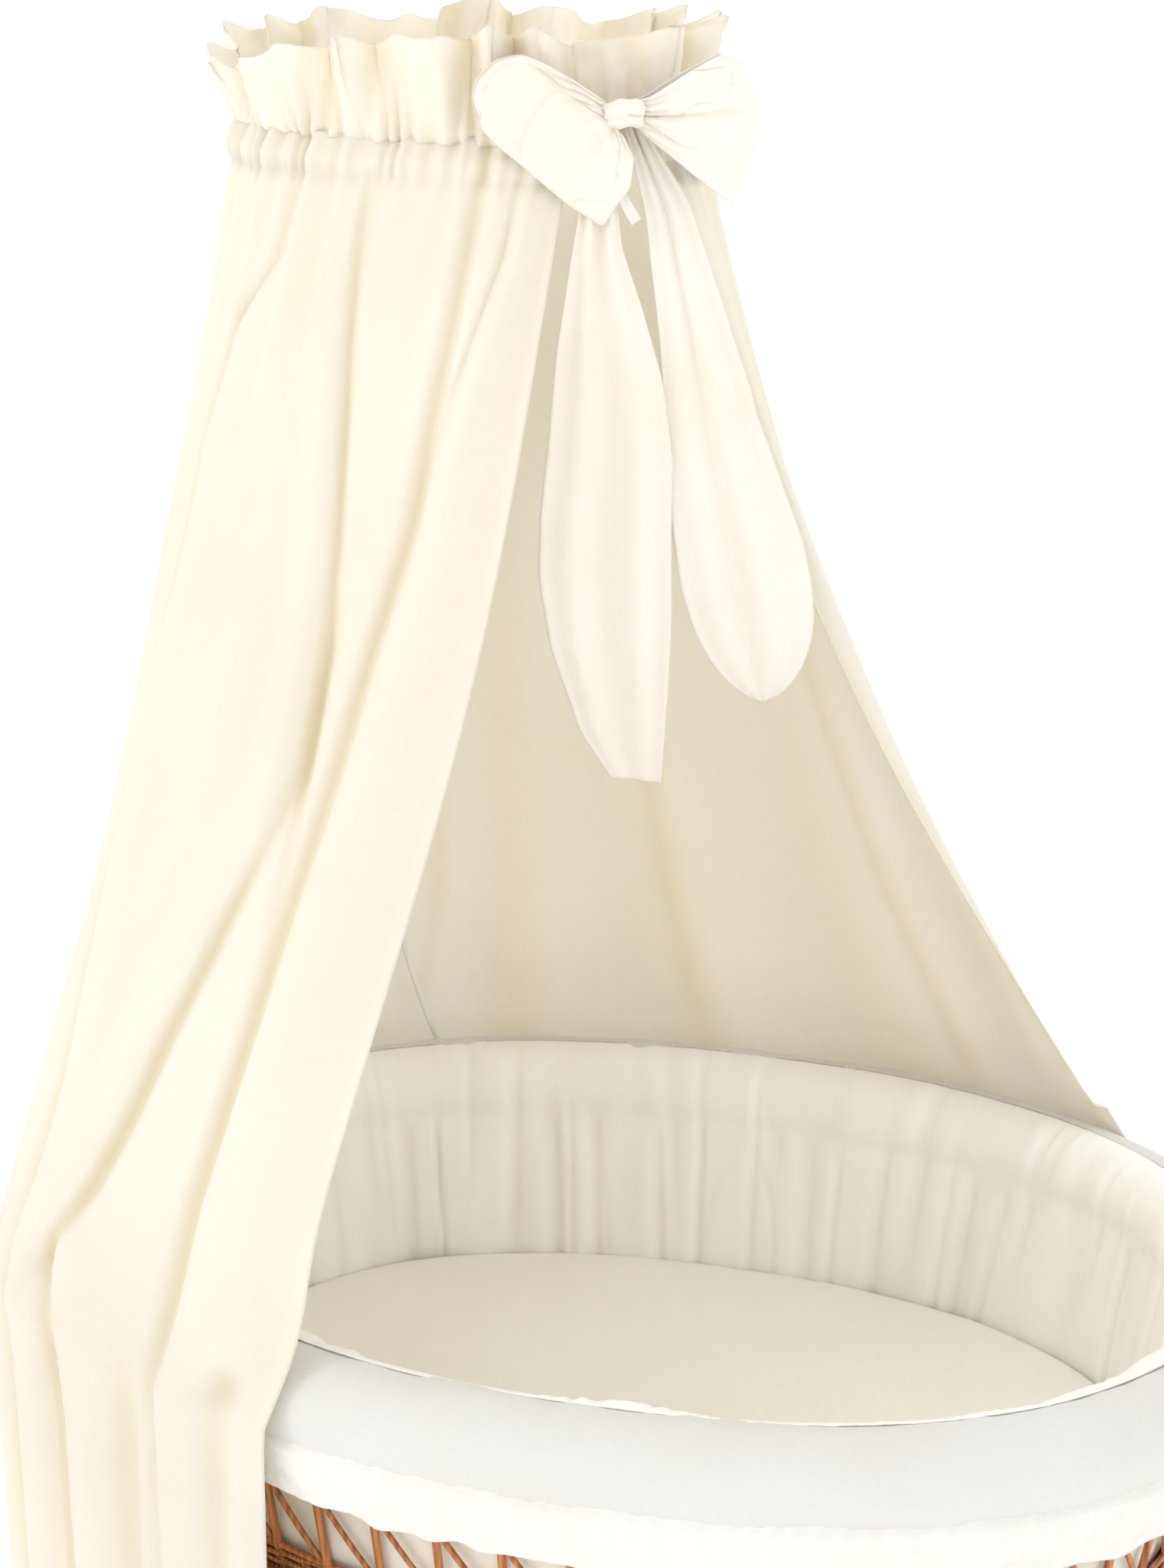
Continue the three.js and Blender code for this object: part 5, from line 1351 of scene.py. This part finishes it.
# ------------------------------------------------------------------ casters
for k, deg in LEG_T.items():
    bot = leg_at(deg, LZ0)
    ox, oy = bot[0], bot[1]
    fork = []
    outline = [(-20, 61.4), (13, 61.4), (13, 50), (-7, 20), (-11, 16.5), (-16, 15.4), (-21, 16.5), (-24.4, 20), (-25.2, 25), (-24.6, 31), (-20, 50)]
    for y0, y1 in ((-13.6, -11.2), (11.2, 13.6)):
        o = np.asarray(outline) / 1000
        n = len(o)
        V = np.concatenate([np.c_[ox + o[:, 0], np.full(n, oy + y0 / 1000), o[:, 1]], np.c_[ox + o[:, 0], np.full(n, oy + y1 / 1000), o[:, 1]]])
        me = bpy.data.meshes.new("cheek")
        me.from_pydata(V.tolist(), [], [tuple(range(n)), tuple(range(2 * n - 1, n - 1, -1))] + [(i, i + n, (i + 1) % n + n, (i + 1) % n) for i in range(n)])
        me.update()
        ob = bpy.data.objects.new("cheek", me)
        bpy.context.scene.collection.objects.link(ob)
        bevel(ob, .0008, 2)
        fork.append(ob)
    pl = make("plate", [(ox + x / 1000, oy + y / 1000, z / 1000) for x in (-16.5, 13) for y in (-13.6, 13.6) for z in (58.0, 61.4)],
              [[0, 1, 3, 2], [4, 6, 7, 5], [0, 4, 5, 1], [2, 3, 7, 6], [0, 2, 6, 4], [1, 5, 7, 3]], smooth_shade=False)
    bevel(pl, .001, 3)
    fork.append(pl)
    fork.append(merged("stem", turned_arrays(mm([[0, 60.5], [8, 60.5], [8.6, 61], [8.6, 62.6], [8, 63.2], [4, 63.2], [4, 94.4], [3.4, 95], [0, 95]]), 28, (ox, oy, 0))))
    FK = join(f"caster_fork_{k}_pressed", fork)
    place(FK, STEEL, f"caster_{k}", f"caster_fork_{k}", slot="steel")
    wx, wz = ox - .016, .025
    tyre = mm([[20.5, -9.4], [22.6, -9.0], [24.2, -7.6], [24.9, -5.2], [25, -2], [25, 2], [24.9, 5.2], [24.2, 7.6], [22.6, 9.0], [20.5, 9.4]])
    TY = merged(f"caster_tyre_{k}", turned_arrays(tyre, 64, (wx, oy, wz), (0, 1, 0)))
    place(TY, TYRE, f"wheel_{k}", f"caster_wheel_{k}", slot="tyre")
    hub = mm([[3.4, -10], [7.6, -10], [8.8, -9.4], [9.4, -7.4], [17.6, -6.2], [19.2, -8.8], [20.6, -9.2], [20.6, 9.2], [19.2, 8.8], [17.6, 6.2], [9.4, 7.4], [8.8, 9.4], [7.6, 10], [3.4, 10]])
    HB = merged(f"caster_hub_{k}", turned_arrays(hub, 48, (wx, oy, wz), (0, 1, 0)))
    place(HB, HUB, f"wheel_{k}", slot="grey_plastic")
    ax = mm([[0, -15.6], [2.6, -15.5], [4.0, -15.0], [4.4, -14.2], [4.4, -13.7], [2.8, -13.7], [2.8, 13.7], [4.4, 13.7], [4.4, 14.2], [4.0, 15.0], [2.6, 15.5], [0, 15.6]])
    AX = merged(f"caster_axle_{k}_riveted", turned_arrays(ax, 28, (wx, oy, wz), (0, 1, 0)))
    place(AX, STEEL, f"caster_{k}", f"caster_axle_{k}", slot="steel")
    if k in ("head_front", "foot_front"):
        P0 = [(x / 1000, z / 1000) for x, z in ((-12.5, 54.9), (-36, 54.9), (-42, 55.6), (-44, 57.4), (-43.4, 58.6), (-41, 58.9), (-36, 58.3), (-12.5, 58.3), (-11.2, 57.6), (-11.2, 55.6))]
        n = len(P0)
        V = [(ox + x, oy - .0098, z) for x, z in P0] + [(ox + x, oy + .0098, z) for x, z in P0]
        me = bpy.data.meshes.new("pad")
        me.from_pydata(V, [], [tuple(range(n)), tuple(range(2 * n - 1, n - 1, -1))] + [(i, i + n, (i + 1) % n + n, (i + 1) % n) for i in range(n)])
        me.update()
        pad = bpy.data.objects.new("pad", me)
        bpy.context.scene.collection.objects.link(pad)
        bevel(pad, .0008, 3)
        ribs = [merged("rib", tube_arrays(np.array([[ox + x / 1000, oy - .0085, .0584], [ox + x / 1000, oy, .0585], [ox + x / 1000, oy + .0085, .0584]]), .0006, 8)) for x in (-23, -26.5, -30, -33.5)]
        pin = merged("pin", tube_arrays(np.array([[ox - .014, oy - .0132, .0565], [ox - .014, oy, .0565], [ox - .014, oy + .0132, .0565]]), .002, 16))
        PD = join(f"brake_pedal_{k}_moulded", [pad, pin] + ribs)
        place(PD, GREY, f"pedal_{k}", f"brake_pedal_{k}", slot="grey_plastic")

# ------------------------------------------------------------------ room, lights and camera
st = Mat("studio_white", .9, Specular_IOR_Level=0.1)
sv = st.coords("Object")
st.color(st.mix(st.range(st.noise(sv, 3.0, 2), .3, .7), (.93, .93, .93, 1), (.90, .90, .90, 1)))
st.bsdf.inputs["Emission Color"].default_value = (1, 1, 1, 1)
st.bsdf.inputs["Emission Strength"].default_value = .30
ys = np.concatenate([[-9], np.linspace(-6, 5, 12), 5 + 2.5 * np.sin(np.linspace(.05, PI / 2, 24)), [7.5]])
zs = np.concatenate([[0], np.zeros(12), 2.5 * (1 - np.cos(np.linspace(.05, PI / 2, 24))), [9]])
xs = np.linspace(-9, 9, 3)
G = np.stack(np.broadcast_arrays(xs[:, None], ys[None], zs[None] - .0006), -1)
STUDIO = grid("studio_sweep", G, flip=True)
dress(STUDIO, st.m)


def area(name, loc, target, size, watts, color=(1, 1, 1)):
    li = bpy.data.lights.new(name, "AREA")
    li.shape = "RECTANGLE"
    li.size, li.size_y = size
    li.energy = watts
    li.color = color
    ob = bpy.data.objects.new(name, li)
    bpy.context.scene.collection.objects.link(ob)
    from mathutils import Vector
    ob.location = loc
    ob.rotation_euler = (Vector(target) - Vector(loc)).to_track_quat("-Z", "Y").to_euler()
    return ob


area("key", (-3.0, -2.4, 2.9), (0, 0, 1.0), (1.8, 1.8), 35, (1, .985, .96))
area("fill", (3.0, -2.2, 2.0), (0, 0, .9), (2.6, 2.6), 14, (.97, .98, 1))
area("top", (.2, .4, 4.2), (0, 0, .7), (2.6, 2.6), 6, (1, .99, .97))
w = bpy.data.worlds.new("room")
bpy.context.scene.world = w
w.use_nodes = True
bg = next(n for n in w.node_tree.nodes if n.type == "BACKGROUND")
bg.inputs["Color"].default_value = (1, 1, 1, 1)
bg.inputs["Strength"].default_value = 1.04

sc = bpy.context.scene
sc.view_settings.view_transform = "Standard"
sc.view_settings.look = "None"
cam = bpy.data.cameras.new("camera")
cam.lens = 66.8
cam.sensor_width = 36
cam.sensor_fit = "AUTO"
cam.clip_start, cam.clip_end = .05, 60
co = bpy.data.objects.new("camera", cam)
sc.collection.objects.link(co)
co.location = (CX + .514, CY - 1.900, 1.776)
co.rotation_euler = (math.radians(90 - 18.55), 0, math.radians(17))
sc.camera = co
